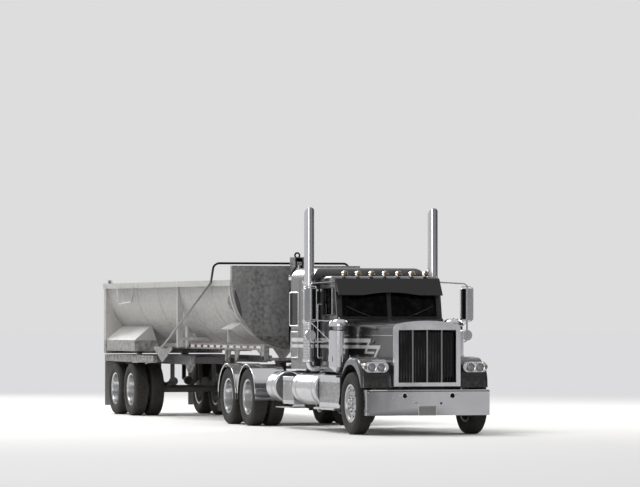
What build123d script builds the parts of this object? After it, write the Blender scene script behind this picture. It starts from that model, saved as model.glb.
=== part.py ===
"""Long-nose tractor with a sleeper, coupled to a half-round tipping semi-trailer.

Millimetres. While a piece is drawn, Y counts rearward from the front axle, X to the
truck's left and Z up from the ground. Every piece is then moved by DATUM_Y, so that the
finished origin lies on the ground at the middle of the whole rig.
"""
from build123d import *
import math
import os

# Overall ends of the rig
FRONT_END = -786
REAR_END = 17090
DATUM_Y = -(FRONT_END + REAR_END) / 2

# Wheels: one tyre size all round, and where each wheel stands
TYRE_RADIUS = 536
TYRE_HALF_WIDTH = 140
FLANGE_RADIUS = 337
FLANGE_HALF_WIDTH = 118
BARREL_RADIUS = 290
FRONT_WHEEL_X = 1040
DUAL_MIDDLE_X = 902
DUAL_OFFSET = 168
DRIVE_AXLES = (6283, 7600)
TRAILER_AXLES = (14960, 16240)
SPINDLE_RADIUS = 60
BEARING_GAP = 0.5
HAND_HOLES = 10
HAND_HOLE_RADIUS = 24
HAND_HOLE_CIRCLE = 236

# Tractor frame: two channel rails
RAIL_OUTER_X = 430
RAIL_FLANGE = 89
RAIL_WALL = 10
RAIL_TOP = 1000
RAIL_HEIGHT = 266
RAIL_FRONT = -560
RAIL_REAR = 8230

# Front axle and steering
KINGPIN_X = 872
KINGPIN_RADIUS = 26
AXLE_PAD_Z = 440
AXLE_HALF_DEPTH = 50

# Bumper
BUMPER_HALF_WIDTH = 1107
BUMPER_BOTTOM = 338
BUMPER_TOP = 778
BUMPER_RETURN = 200
BUMPER_WALL = 8

# Hood, grille and fenders: the hood tilts about a line low behind the bumper
HOOD_PIVOT = (-640, 835)
SHELL_FRONT = -725
HOOD_FRONT = -665
HOOD_REAR = 1290
HOOD_FRONT_HALF = 600
HOOD_REAR_HALF = 790
HOOD_FRONT_TOP = 1960
HOOD_REAR_TOP = 2010
HOOD_SKIRT = 1010
HOOD_WALL = 22
GRILLE_BOTTOM = 835
GRILLE_HALF_OPENING = 520
GRILLE_OPENING = (900, 1790)
FENDER_OUTER = 1150
FENDER_INNER = 590
FENDER_LIP = 45
FENDER_WALL = 22
LAMP_POD_Z = 1165
LAMP_POD_X = 895

# Cab
CAB_FRONT = 1300
CAB_REAR = 2380
CAB_HALF = 970
CAB_FLOOR = 1060
CAB_ROOF = 2750
CAB_WALL = 45
COWL_TOP = 1990
SCREEN_FOOT = 1360
SCREEN_HEAD = 1490
DOOR = (1395, 2290)
DOOR_SILL = 1090
DOOR_HEAD = 2600
DOOR_GAP = 8
DOOR_BELT = 2010

# Sleeper
SLEEPER = (2500, 4080)
SLEEPER_HALF = 1050
SLEEPER_FLOOR = 1090
SLEEPER_ROOF = 2900
SLEEPER_WINDOW = (3460, 3990, 1870, 2460)
HATCH = (3440, 3950, 1260, 1790)
PASSAGE_HALF = 400
PASSAGE = (1140, 2520)

# Stacks, air cleaners and mirrors
STACK_X = 1158
STACK_Y = 2440
STACK_TOP = 3970
STACK_RADIUS = 90
GUARD_RADIUS = 105
GUARD = (1230, 2650)
CLEANER_X = 1050
CLEANER_Y = 985
CLEANER_RADIUS = 183
CLEANER = (1150, 1780)
MIRROR_X = 1450
MIRROR_Y = 1400
MIRROR = (1965, 2530)
MIRROR_HALF_WIDTH = 100
BRACKET_TUBE = 14

# Tanks, boxes and steps
TANK_RADIUS = 295
TANK_X = 885
TANK_Z = 755
TANK = (2080, 3470)
OIL_TANK = (4600, 5150)
OIL_TANK_RADIUS = 280
STEP_BOX = (830, 2040)
STEP_OUTER = 1195
REAR_BOX = (3530, 4210)

# Fenders over the drive wheels
WRAP_RADIUS = 600
WRAP_WALL = 8
WRAP_X = (588, 1216)
WRAP_FOOT = 480

# Coupling: the fifth wheel's plate and the pin that hangs in it
KINGPIN_Y = 6900
PLATE_TOP = 1208
PIN_RADIUS = 25.4
PIN_GAP = 1

# Tipping linkage: the draft arms turn at the coupler, carry the tub at its middle, and
# the bogie hinges at the tub's tail, as far behind the middle as the coupler is in front
LINK_Z = 1250
COUPLER_PIVOT = 6350
BOGIE_PIVOT = 16950
ARM_PIVOT = (COUPLER_PIVOT + BOGIE_PIVOT) / 2
ARM_Z = (1400, 1510)
ARM_X = (765, 860)
LINK_PIN_RADIUS = 30

# Half-round tub
TUB_RADIUS = 1220
TUB_CENTRE_Z = 2660
TUB_WALL = 12
TUB = (7200, 16850)
TUB_TOP = 2720
BULKHEAD_FRONT = 7080
BULKHEAD_TOP = 2990
BULKHEAD_HALF = TUB_RADIUS + 42
RAIL_SECTION = (60, 110)

# Hoist
HOIST_Y = 6830
HOIST_FOOT = 1360
HOIST_HEAD = 3030
HOIST_HEAD_Y = 6930
HOIST_STAGES = ((100, 0), (86, 1), (73, 2), (60, 3), (48, 4))
HOIST_WALL = 8


def block(x, y, z):
    """A box from its three pairs of limits."""
    return Pos((x[0] + x[1]) / 2, (y[0] + y[1]) / 2, (z[0] + z[1]) / 2) * Box(
        x[1] - x[0], y[1] - y[0], z[1] - z[0]
    )


def outline(points):
    """A face from points in order; ((via), (end)) reaches its end by an arc through via."""
    edges = []
    here = points[0]
    for step in points[1:] + [points[0]]:
        if isinstance(step[0], tuple):
            edges.append(ThreePointArc(here, step[0], step[1]))
            here = step[1]
        else:
            if step != here:
                edges.append(Line(here, step))
            here = step
    return make_face(edges)


def side_form(points, x):
    """Extrude an outline drawn in Y and Z between two values of X."""
    return extrude(Pos(x[0], 0, 0) * (Plane.YZ * outline(points)), x[1] - x[0])


def front_form(points, y):
    """Extrude an outline drawn in X and Z between two values of Y."""
    return extrude(Pos(0, y[1], 0) * (Plane.XZ * outline(points)), y[1] - y[0])


def plan_form(points, z):
    """Extrude an outline drawn in X and Y between two heights."""
    return extrude(Pos(0, 0, z[0]) * outline(points), z[1] - z[0])


def rod_x(radius, x, y, z):
    """A cylinder along X."""
    return Pos((x[0] + x[1]) / 2, y, z) * Rot(0, 90, 0) * Cylinder(radius, x[1] - x[0])


def rod_y(radius, x, y, z):
    """A cylinder along Y."""
    return Pos(x, (y[0] + y[1]) / 2, z) * Rot(90, 0, 0) * Cylinder(radius, y[1] - y[0])


def rod_z(radius, x, y, z):
    """A cylinder along Z."""
    return Pos(x, y, (z[0] + z[1]) / 2) * Cylinder(radius, z[1] - z[0])


def pipe(points, bends, radius):
    """A round bar along straight runs joined by tangent arcs."""
    path = FilletPolyline(*points, radius=bends)
    return sweep(Plane(path @ 0, z_dir=path % 0) * Circle(radius), path=path)


def both_sides(piece):
    """A piece on the truck's left and its twin on the right."""
    return [piece, mirror(piece, Plane.YZ)]


def save(name, pieces):
    """Write one node, moved from the front axle's datum to the rig's own origin."""
    solids = []
    for piece in pieces if isinstance(pieces, list) else [pieces]:
        solids += [Pos(0, DATUM_Y, 0) * solid for solid in piece.solids()]
    export_step(Compound(children=solids) if len(solids) > 1 else solids[0], f"parts/{name}.step")


os.makedirs("parts", exist_ok=True)

# Wheels

FRONT_HUB = (-40, 150)
FRONT_SPINDLE = 45
FRONT_BORE_END = 70
DUAL_HUB = (-120, 190)
DUAL_BORE_END = 100
DISC_THICKNESS = 20


def tyre_outline(middle):
    """The outside of one tyre, from its outboard bead over the crown to its inboard bead."""
    shoulder = TYRE_RADIUS - 30
    return [
        (middle + FLANGE_HALF_WIDTH, FLANGE_RADIUS),
        ((middle + TYRE_HALF_WIDTH, 428), (middle + TYRE_HALF_WIDTH - 12, shoulder)),
        (middle + TYRE_HALF_WIDTH - 22, TYRE_RADIUS - 9),
        (middle + 100, TYRE_RADIUS),
        (middle - 100, TYRE_RADIUS),
        (middle - TYRE_HALF_WIDTH + 22, TYRE_RADIUS - 9),
        (middle - TYRE_HALF_WIDTH + 12, shoulder),
        ((middle - TYRE_HALF_WIDTH, 428), (middle - FLANGE_HALF_WIDTH, FLANGE_RADIUS)),
    ]


def hand_holes(circle, x):
    """The round holes that lighten a wheel's disc."""
    return [
        Rot(360 / HAND_HOLES * index, 0, 0) * rod_x(HAND_HOLE_RADIUS, x, 0, circle)
        for index in range(HAND_HOLES)
    ]


def front_wheel():
    """A steered wheel about its own middle plane, outboard along +X: disc bulged outward."""
    lip = FLANGE_HALF_WIDTH - 5
    shape = outline(
        [(FRONT_HUB[1], 0), (FRONT_HUB[1], 55), (132, 78), (105, 85), (105, 172), (96, 200)]
        + [(74, 268), (84, BARREL_RADIUS), (lip, 300), (lip, 322)]
        + tyre_outline(0)
        + [(-lip, 322), (-lip, 300), (-84, BARREL_RADIUS), (52, 282), (96 - DISC_THICKNESS, 200)]
        + [(105 - DISC_THICKNESS, 172), (105 - DISC_THICKNESS, 110), (FRONT_HUB[0], 110)]
        + [(FRONT_HUB[0], FRONT_SPINDLE + BEARING_GAP), (FRONT_BORE_END, FRONT_SPINDLE + BEARING_GAP)]
        + [(FRONT_BORE_END, 0)]
    )
    return revolve(shape, Axis.X) - hand_holes(HAND_HOLE_CIRCLE, (20, 110))


def dual_wheels():
    """Two wheels back to back about the plane where their discs meet, outboard along +X."""
    near, rim = DUAL_OFFSET - FLANGE_HALF_WIDTH, DUAL_OFFSET + FLANGE_HALF_WIDTH - 5
    shape = outline(
        [(DUAL_HUB[1], 0), (DUAL_HUB[1], 70), (DUAL_HUB[1] - 15, 92), (60, 104), (DISC_THICKNESS, 112)]
        + [(DISC_THICKNESS, 205), (32, 232), (58, 278), (76, BARREL_RADIUS), (rim - 6, 296), (rim, 318)]
        + tyre_outline(DUAL_OFFSET)
        + [(near, 312), (20, 236), (0, 200), (-20, 236), (-near, 312)]
        + tyre_outline(-DUAL_OFFSET)
        + [(-rim, 318), (6 - rim, 296), (-76, BARREL_RADIUS), (-58, 278), (-32, 232)]
        + [(-DISC_THICKNESS, 205), (-DISC_THICKNESS, 130), (DUAL_HUB[0], 130)]
        + [(DUAL_HUB[0], SPINDLE_RADIUS + BEARING_GAP), (DUAL_BORE_END, SPINDLE_RADIUS + BEARING_GAP)]
        + [(DUAL_BORE_END, 0)]
    )
    return revolve(shape, Axis.X) - hand_holes(HAND_HOLE_CIRCLE + 16, (-70, 70))


wheel = Pos(FRONT_WHEEL_X, 0, TYRE_RADIUS) * front_wheel()
for side, piece in zip(("left", "right"), both_sides(wheel)):
    save(f"wheel_front_{side}", piece)

AXLE_NAMES = ("drive_1", "drive_2", "trailer_1", "trailer_2")
pair = dual_wheels()
for name, place in zip(AXLE_NAMES, DRIVE_AXLES + TRAILER_AXLES):
    for side, piece in zip(("left", "right"), both_sides(Pos(DUAL_MIDDLE_X, place, TYRE_RADIUS) * pair)):
        save(f"wheels_{name}_{side}", piece)

# Tractor frame: two channels open towards each other, tied by cross members

RAIL_BOTTOM = RAIL_TOP - RAIL_HEIGHT
WEB_INNER_X = RAIL_OUTER_X - RAIL_WALL
CROSS_MEMBERS = (-440, 1500, 3000, 4400, 5500, 6941, 8120)
CROSS_HALF = 60


def channel(outer, inner, y, z, wall):
    """A channel along Y with its back at outer and its flanges reaching to inner."""
    return front_form(
        [(outer, z[0]), (inner, z[0]), (inner, z[0] + wall), (outer - wall, z[0] + wall)]
        + [(outer - wall, z[1] - wall), (inner, z[1] - wall), (inner, z[1]), (outer, z[1])],
        y,
    )


rail = channel(
    RAIL_OUTER_X, RAIL_OUTER_X - RAIL_FLANGE, (RAIL_FRONT, RAIL_REAR), (RAIL_BOTTOM, RAIL_TOP), RAIL_WALL
)
save("frame_rails", both_sides(rail))

cross = []
for place in CROSS_MEMBERS:
    reach, web = (-WEB_INNER_X, WEB_INNER_X), (RAIL_BOTTOM + RAIL_WALL, RAIL_TOP - RAIL_WALL)
    beam = block(reach, (place - RAIL_WALL / 2, place + RAIL_WALL / 2), web)
    for z in ((web[0], web[0] + RAIL_WALL), (web[1] - RAIL_WALL, web[1])):
        beam += block(reach, (place - CROSS_HALF, place + CROSS_HALF), z)
    cross.append(beam)
save("cross_members", cross)

# Front axle: dropped beam whose eyes hold the kingpins

EYE_RADIUS = 45
EYE = (480, 592)
YOKE_GAP = 6
YOKE_ARM = 44
STEER_ARM_Y = 185
STEER_ARM_X = (KINGPIN_X - 16, KINGPIN_X + 16)
TIE_ROD_RADIUS = 18
ROD_EYE_RADIUS = 30
ROD_EYE_HALF = 24
BALL_STUD_RADIUS = 11
DROP_X = (600, 780)

beam = front_form(
    [(-840, EYE[1]), (-DROP_X[1], EYE[1]), (-DROP_X[0], AXLE_PAD_Z), (DROP_X[0], AXLE_PAD_Z)]
    + [(DROP_X[1], EYE[1]), (840, EYE[1]), (840, EYE[0]), (DROP_X[1] - 20, EYE[0])]
    + [(DROP_X[0] - 20, AXLE_PAD_Z - 110), (20 - DROP_X[0], AXLE_PAD_Z - 110)]
    + [(20 - DROP_X[1], EYE[0]), (-840, EYE[0])],
    (-AXLE_HALF_DEPTH, AXLE_HALF_DEPTH),
)
for place in (-KINGPIN_X, KINGPIN_X):
    beam += rod_z(EYE_RADIUS, place, 0, EYE)
for place in (-KINGPIN_X, KINGPIN_X):
    beam -= rod_z(KINGPIN_RADIUS + BEARING_GAP, place, 0, (EYE[0] - 1, EYE[1] + 1))
save("front_axle", beam)

yoke_top = (EYE[1] + YOKE_GAP, EYE[1] + YOKE_GAP + YOKE_ARM)
yoke_foot = (EYE[0] - YOKE_GAP - YOKE_ARM, EYE[0] - YOKE_GAP)
post_x = (KINGPIN_X + EYE_RADIUS + YOKE_GAP, 985)
knuckle = rod_z(KINGPIN_RADIUS, KINGPIN_X, 0, (yoke_foot[0], yoke_top[1]))
for z in (yoke_top, yoke_foot):
    knuckle += block((KINGPIN_X, post_x[1]), (-EYE_RADIUS, EYE_RADIUS), z) + rod_z(EYE_RADIUS, KINGPIN_X, 0, z)
knuckle += block(post_x, (-EYE_RADIUS - 5, EYE_RADIUS + 5), (yoke_foot[0], yoke_top[1]))
knuckle += rod_x(FRONT_SPINDLE, (post_x[0], FRONT_WHEEL_X + FRONT_BORE_END - 5), 0, TYRE_RADIUS)
arm_foot = (yoke_foot[0], yoke_foot[0] + 32)
knuckle += block(STEER_ARM_X, (0, STEER_ARM_Y + 25), arm_foot)
eye_limits = (arm_foot[0] - YOKE_GAP - 2 * ROD_EYE_HALF, arm_foot[0] - YOKE_GAP)
knuckle += rod_z(BALL_STUD_RADIUS, KINGPIN_X, STEER_ARM_Y, (eye_limits[0], arm_foot[0] + 1))
for side, piece in zip(("left", "right"), both_sides(knuckle)):
    save(f"knuckle_{side}", piece)

tie_rod = rod_x(TIE_ROD_RADIUS, (-KINGPIN_X, KINGPIN_X), STEER_ARM_Y, sum(eye_limits) / 2)
for place in (-KINGPIN_X, KINGPIN_X):
    tie_rod += rod_z(ROD_EYE_RADIUS, place, STEER_ARM_Y, eye_limits)
for place in (-KINGPIN_X, KINGPIN_X):
    bore = (eye_limits[0] - 1, eye_limits[1] + 1)
    tie_rod -= rod_z(BALL_STUD_RADIUS + BEARING_GAP, place, STEER_ARM_Y, bore)
save("tie_rod", tie_rod)

# Springs: leaf packs over the front axle, walking beams and rods at the drive axles

SPRING_X = (385, 455)
FRONT_SPRING_HALF = 560
LEAF = 14
LEAVES = 5


def leaf_pack(middle, half, seat, rise, x):
    """Curved leaves resting on an axle's seat, the longest on top."""
    pack = None
    for index in range(LEAVES):
        reach = half * (1 - 0.17 * (LEAVES - 1 - index))
        lift = rise * (reach / half) ** 2
        low = seat + index * LEAF
        leaf = side_form(
            [(middle - reach, low + lift), ((middle, low), (middle + reach, low + lift))]
            + [(middle + reach, low + lift + LEAF)]
            + [((middle, low + LEAF), (middle - reach, low + lift + LEAF))],
            x,
        )
        pack = leaf if pack is None else pack + leaf
    return pack


springs = []
front_pack = leaf_pack(0, FRONT_SPRING_HALF, AXLE_PAD_Z, 120, SPRING_X)
for place in (-FRONT_SPRING_HALF + 70, FRONT_SPRING_HALF - 40):
    front_pack += block(SPRING_X, (place - 30, place + 30), (AXLE_PAD_Z + 150, RAIL_BOTTOM))
springs += both_sides(front_pack)
middle = sum(DRIVE_AXLES) / 2
rear_pack = leaf_pack(middle, 700, 560, 60, (440, 530))
rear_pack += block((RAIL_OUTER_X, 530), (middle - 110, middle + 110), (600, 900))
springs += both_sides(rear_pack)
save("suspension", springs)

# Drive axles: tapered housings with a round centre, and hollow ends that carry the hubs

HOUSING_END = DUAL_MIDDLE_X + DUAL_HUB[0] - 8
CENTRE_RADIUS = 220

axles = []
for place in DRIVE_AXLES:
    housing = Pos(0, place, TYRE_RADIUS) * (
        Sphere(CENTRE_RADIUS) & block((-150, 150), (-400, 400), (-400, 400))
    )
    housing += rod_x(75, (-HOUSING_END, HOUSING_END), place, TYRE_RADIUS)
    reach = DUAL_MIDDLE_X + DUAL_BORE_END - 5
    housing += rod_x(SPINDLE_RADIUS, (-reach, reach), place, TYRE_RADIUS)
    housing += rod_y(90, 0, (place - 380, place), TYRE_RADIUS + 40)
    axles.append(housing)
save("drive_axles", axles)

# Bumper: one deep polished plate, its ends boxed back, with tow eyes and a plate recess

TOW_HOLE = (430, 680, 38)
SMALL_HOLE = (228, 545, 20)
BUMPER_FOLD = 30

front = FRONT_END
bumper = block((-BUMPER_HALF_WIDTH, BUMPER_HALF_WIDTH), (front, front + BUMPER_WALL), (BUMPER_BOTTOM, BUMPER_TOP))
for z in ((BUMPER_TOP - BUMPER_WALL, BUMPER_TOP), (BUMPER_BOTTOM, BUMPER_BOTTOM + BUMPER_WALL)):
    bumper += block((-BUMPER_HALF_WIDTH, BUMPER_HALF_WIDTH), (front, front + BUMPER_FOLD), z)
for side in (-1, 1):
    ends = sorted((side * (BUMPER_HALF_WIDTH - BUMPER_WALL), side * BUMPER_HALF_WIDTH))
    bumper += block(ends, (front, front + BUMPER_RETURN), (BUMPER_BOTTOM, BUMPER_TOP))
    for x, z, radius in (TOW_HOLE, SMALL_HOLE):
        bumper -= rod_y(radius, side * x, (front - 1, front + BUMPER_WALL + 1), z)
for side in (-1, 1):
    stay = sorted((side * (RAIL_OUTER_X - RAIL_FLANGE), side * (RAIL_OUTER_X - RAIL_FLANGE + 40)))
    bumper += block(stay, (front + BUMPER_WALL, RAIL_FRONT + 80), (RAIL_BOTTOM - 110, RAIL_BOTTOM))
save("bumper", bumper)

# Hood: a lofted shell with its front fenders, which tilt with it

HOOD_CROWN = (50, 50)
HOOD_CORNER = (90, 130)
STEER_REACH = 632
ARCH_TOP = 1205


def hood_section(half, top, crown, corner, skirt):
    """The hood's outline at one station: upright sides, round corners, crowned top."""
    lean = corner * (1 - math.sqrt(0.5))
    shoulder = top - crown
    return [
        (-half, skirt),
        (-half, shoulder - corner),
        ((lean - half, shoulder - lean), (corner - half, shoulder)),
        ((0, top), (half - corner, shoulder)),
        ((half - lean, shoulder - lean), (half, shoulder - corner)),
        (half, skirt),
    ]


def hood_loft(inset, skirt, reach):
    """The space between the front and rear stations, drawn in by inset."""
    stations = (
        (HOOD_FRONT - reach, HOOD_FRONT_HALF, HOOD_FRONT_TOP, HOOD_CROWN[0], HOOD_CORNER[0]),
        (HOOD_REAR + reach, HOOD_REAR_HALF, HOOD_REAR_TOP, HOOD_CROWN[1], HOOD_CORNER[1]),
    )
    return loft([
        Pos(0, y, 0) * (Plane.XZ * outline(
            hood_section(half - inset, top - inset, crown, corner - inset, skirt)
        ))
        for y, half, top, crown, corner in stations
    ])


FENDER_TOP = [
    (-615, 812),
    (-608, 900),
    ((-455, 1215), (-90, 1322)),
    ((330, 1262), (610, 930)),
    (765, 500),
]
FENDER_POCKET = [
    (-615 + FENDER_WALL, 700),
    (-608 + FENDER_WALL, 900),
    ((-455 + 16, 1215 - 16), (-88, 1322 - FENDER_WALL)),
    ((330 - 14, 1262 - 17), (610 - FENDER_WALL, 922)),
    (765 - FENDER_WALL, 490),
    (765 - FENDER_WALL, 400),
    (-615 + FENDER_WALL, 400),
]
ARCH_FEET = ((700, 500), (-562, 812))

blank = side_form(FENDER_TOP + [ARCH_FEET[0], ARCH_FEET[1]], (FENDER_INNER, FENDER_OUTER))
rim = blank.edges().filter_by(lambda edge: edge.center().X > FENDER_OUTER - 1 and edge.length > 300)
rim = rim.filter_by(lambda edge: edge.center().Z > 600)
blank = fillet(rim.sort_by(lambda edge: -edge.center().Z)[:2], 60)
arch = side_form(
    [ARCH_FEET[0], ((30, ARCH_TOP), ARCH_FEET[1]), (-562, 300), (700, 300)],
    (FENDER_INNER - 1, FENDER_OUTER + 1),
)
pocket = side_form(FENDER_POCKET, (FENDER_INNER + FENDER_WALL, FENDER_OUTER - FENDER_LIP))
reach = Pos(KINGPIN_X, 0, TYRE_RADIUS) * Sphere(STEER_REACH)
reach &= block((0, 2000), (-900, 900), (-200, ARCH_TOP - 100))
fender = blank - arch - pocket - reach

hood_space = hood_loft(HOOD_WALL, HOOD_SKIRT - 400, 2)
hood = hood_loft(0, HOOD_SKIRT, 0) - hood_space
for piece in both_sides(fender):
    hood += piece - hood_loft(HOOD_WALL, HOOD_SKIRT - 5, 2)
save("hood", hood)

# Grille: a polished shell round four panels of thin upright bars

POST_X = (-262, 0, 262)
POST_HALF = 13
BAR_HALF = 6
BARS_PER_PANEL = 4
BAR_Y = (SHELL_FRONT + 18, SHELL_FRONT + 38)

shell_face = hood_section(
    HOOD_FRONT_HALF, HOOD_FRONT_TOP, HOOD_CROWN[0], HOOD_CORNER[0], GRILLE_BOTTOM
)
grille = front_form(shell_face, (SHELL_FRONT, HOOD_FRONT))
low, high = GRILLE_OPENING
grille -= front_form(
    [(-GRILLE_HALF_OPENING, low), (-GRILLE_HALF_OPENING, high - 10)]
    + [((0, high + 15), (GRILLE_HALF_OPENING, high - 10)), (GRILLE_HALF_OPENING, low)],
    (SHELL_FRONT - 1, HOOD_FRONT + 1),
)
posts = (-GRILLE_HALF_OPENING,) + POST_X + (GRILLE_HALF_OPENING,)
for place in POST_X:
    grille += block((place - POST_HALF, place + POST_HALF), (BAR_Y[0] - 8, BAR_Y[1] + 6), (low - 5, high + 10))
for first, last in zip(posts, posts[1:]):
    for index in range(1, BARS_PER_PANEL + 1):
        place = first + (last - first) * index / (BARS_PER_PANEL + 1)
        grille += block((place - BAR_HALF, place + BAR_HALF), BAR_Y, (low - 5, high - 20))
save("grille", grille)

# Headlamps: on each fender a pod with two round lamps and a turn lamp outboard

POD = (440, 180)
POD_Y = (-650, -450)
LAMP_RADIUS = 70
LAMP_SPACING = 84
LAMP_DEPTH = 26

pod = extrude(Pos(LAMP_POD_X, POD_Y[1], LAMP_POD_Z) * (Plane.XZ * SlotOverall(*POD)), POD_Y[1] - POD_Y[0])
for place in (-LAMP_SPACING, LAMP_SPACING):
    x = LAMP_POD_X + place
    pod -= rod_y(LAMP_RADIUS, x, (POD_Y[0] - 1, POD_Y[0] + LAMP_DEPTH), LAMP_POD_Z)
    pod += Pos(x, POD_Y[0] + LAMP_DEPTH + 40, LAMP_POD_Z) * Sphere(LAMP_RADIUS - 8)
pod -= blank
save("headlamps", [piece - hood for piece in both_sides(pod)])

# Engine and radiator: plain masses in their real place

ENGINE = ((-300, 300), (-250, 1150), (700, 1750))
RADIATOR_Y = (-635, -545)
MOUNT = (900, 960)

engine = block(*ENGINE)
for place in (60, 900):
    engine += block((-WEB_INNER_X, WEB_INNER_X), (place, place + 80), MOUNT)
save("engine_block", engine)

radiator = block((-480, 480), RADIATOR_Y, (RAIL_TOP, 1760))
radiator += block((-330, 330), RADIATOR_Y, (780, RAIL_TOP))
save("radiator", radiator)

# Cab: a hollow shell with its screen, door and passage openings cut

SCREEN_HALF = (28, 880)
SCREEN_Z = (2015, 2590)
DOOR_POINTS = [
    (DOOR[0], DOOR_SILL),
    (DOOR[0], DOOR_BELT),
    (DOOR[0] + 140, DOOR_HEAD),
    (DOOR[1], DOOR_HEAD),
    (DOOR[1], DOOR_SILL),
]
DOOR_FRAME = 60
DOOR_WINDOW = [
    (DOOR[0] + DOOR_FRAME, DOOR_BELT + 50),
    (DOOR[0] + 120 + DOOR_FRAME, DOOR_HEAD - DOOR_FRAME),
    (DOOR[1] - DOOR_FRAME, DOOR_HEAD - DOOR_FRAME),
    (DOOR[1] - DOOR_FRAME, DOOR_BELT + 50),
]
GLASS = 6
CORNER_ROUND = 30
CAB_FEET = (1480, 2200)

cab_side = outline(
    [(CAB_FRONT, CAB_FLOOR), (CAB_FRONT, COWL_TOP), (SCREEN_FOOT, COWL_TOP + 15), (SCREEN_HEAD, 2640)]
    + [((1560, 2712), (1700, CAB_ROOF - 12)), ((2080, CAB_ROOF), (CAB_REAR, CAB_ROOF - 25))]
    + [(CAB_REAR, CAB_FLOOR)]
)


def across(face, half):
    """Extrude a face drawn in Y and Z to both sides of the middle."""
    return extrude(Plane.YZ * face, half, both=True)


def door_form(gap, x):
    """The door's outline, grown by gap, through a stretch of X."""
    face = outline(DOOR_POINTS)
    if gap:
        face = offset(face, gap, kind=Kind.INTERSECTION)
    form = extrude(Pos(x[0], 0, 0) * (Plane.YZ * face), x[1] - x[0])
    return fillet(form.edges().filter_by(Axis.X), CORNER_ROUND + gap)


cab = across(cab_side, CAB_HALF)
top_edges = cab.edges().filter_by(lambda edge: abs(edge.center().X) > CAB_HALF - 1)
roof_edges = top_edges.filter_by(lambda edge: edge.center().Z > CAB_ROOF - 100)
cab = fillet(roof_edges.filter_by(lambda edge: edge.center().Y > CAB_FRONT + 500), 60)
cab -= across(offset(cab_side, -CAB_WALL), CAB_HALF - CAB_WALL)
for side in (-1, 1):
    pane = sorted((side * SCREEN_HALF[0], side * SCREEN_HALF[1]))
    opening = block(pane, (SCREEN_FOOT - 60, SCREEN_HEAD + 90), SCREEN_Z)
    cab -= opening
for piece in both_sides(door_form(DOOR_GAP, (CAB_HALF - CAB_WALL - 20, CAB_HALF + 20))):
    cab -= piece
passage = block((-PASSAGE_HALF, PASSAGE_HALF), (CAB_REAR - CAB_WALL - 10, CAB_REAR + 10), PASSAGE)
cab -= passage
for side in (-1, 1):
    foot = sorted((side * 345, side * RAIL_OUTER_X))
    for place in CAB_FEET:
        cab += block(foot, (place - 60, place + 60), (RAIL_TOP, CAB_FLOOR))
save("cab_shell", cab)

# Doors: the cab's own wall, cut free with a gap all round, with a window and its pane

window = side_form(DOOR_WINDOW, (CAB_HALF - CAB_WALL - 1, CAB_HALF + 1))
window = fillet(window.edges().filter_by(Axis.X), CORNER_ROUND)
door = door_form(0, (CAB_HALF - CAB_WALL, CAB_HALF)) - window
pane_x = CAB_HALF - CAB_WALL / 2
pane = window & block((pane_x - GLASS / 2, pane_x + GLASS / 2), (DOOR[0], DOOR[1]), (DOOR_SILL, DOOR_HEAD))
for side, piece, glass in zip(("left", "right"), both_sides(door), both_sides(pane)):
    save(f"door_{side}", piece)
    save(f"door_glass_{side}", glass)

# Sleeper: a taller hollow box behind the cab, with a side window and a luggage door each side

SLEEPER_ROUND = 200
HATCH_GAP = 6
COLLAR_WALL = 30


def wall_form(limits, x):
    """A rounded opening or panel in a side wall, from its limits in Y and Z."""
    form = block(x, limits[:2], limits[2:])
    return fillet(form.edges().filter_by(Axis.X), CORNER_ROUND)


def rounded_box(inset):
    """The sleeper's box, drawn in by inset, with rounded roof and rear edges."""
    half, round_by = SLEEPER_HALF - inset, SLEEPER_ROUND - inset
    form = block(
        (-half, half), (SLEEPER[0] + inset, SLEEPER[1] - inset), (SLEEPER_FLOOR + inset, SLEEPER_ROOF - inset)
    )
    roof = form.edges().filter_by(lambda edge: edge.center().Z > SLEEPER_ROOF - inset - 1)
    rear = form.edges().filter_by(Axis.Z).filter_by(lambda edge: edge.center().Y > SLEEPER[1] - inset - 1)
    return fillet(roof + rear, round_by)


wall_x = (SLEEPER_HALF - CAB_WALL, SLEEPER_HALF)
through = (wall_x[0] - 10, wall_x[1] + 10)
sleeper = rounded_box(0) - rounded_box(CAB_WALL)
hatch_hole = (HATCH[0] - HATCH_GAP, HATCH[1] + HATCH_GAP, HATCH[2] - HATCH_GAP, HATCH[3] + HATCH_GAP)
for piece in both_sides(wall_form(SLEEPER_WINDOW, through)) + both_sides(wall_form(hatch_hole, through)):
    sleeper -= piece
collar = block(
    (-PASSAGE_HALF - COLLAR_WALL, PASSAGE_HALF + COLLAR_WALL),
    (CAB_REAR, SLEEPER[0]),
    (PASSAGE[0] - COLLAR_WALL, PASSAGE[1] + COLLAR_WALL),
)
sleeper += collar
sleeper -= block((-PASSAGE_HALF, PASSAGE_HALF), (CAB_REAR - 10, SLEEPER[0] + CAB_WALL + 10), PASSAGE)
for side in (-1, 1):
    foot = sorted((side * 345, side * RAIL_OUTER_X))
    for place in (SLEEPER[0] + 150, SLEEPER[1] - 150):
        sleeper += block(foot, (place - 60, place + 60), (RAIL_TOP, SLEEPER_FLOOR))
save("sleeper_shell", sleeper)

hatch = wall_form(HATCH, wall_x)
for side, piece in zip(("left", "right"), both_sides(hatch)):
    save(f"hatch_{side}", piece)

# Glass of the windscreen and of the sleeper's windows

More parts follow.
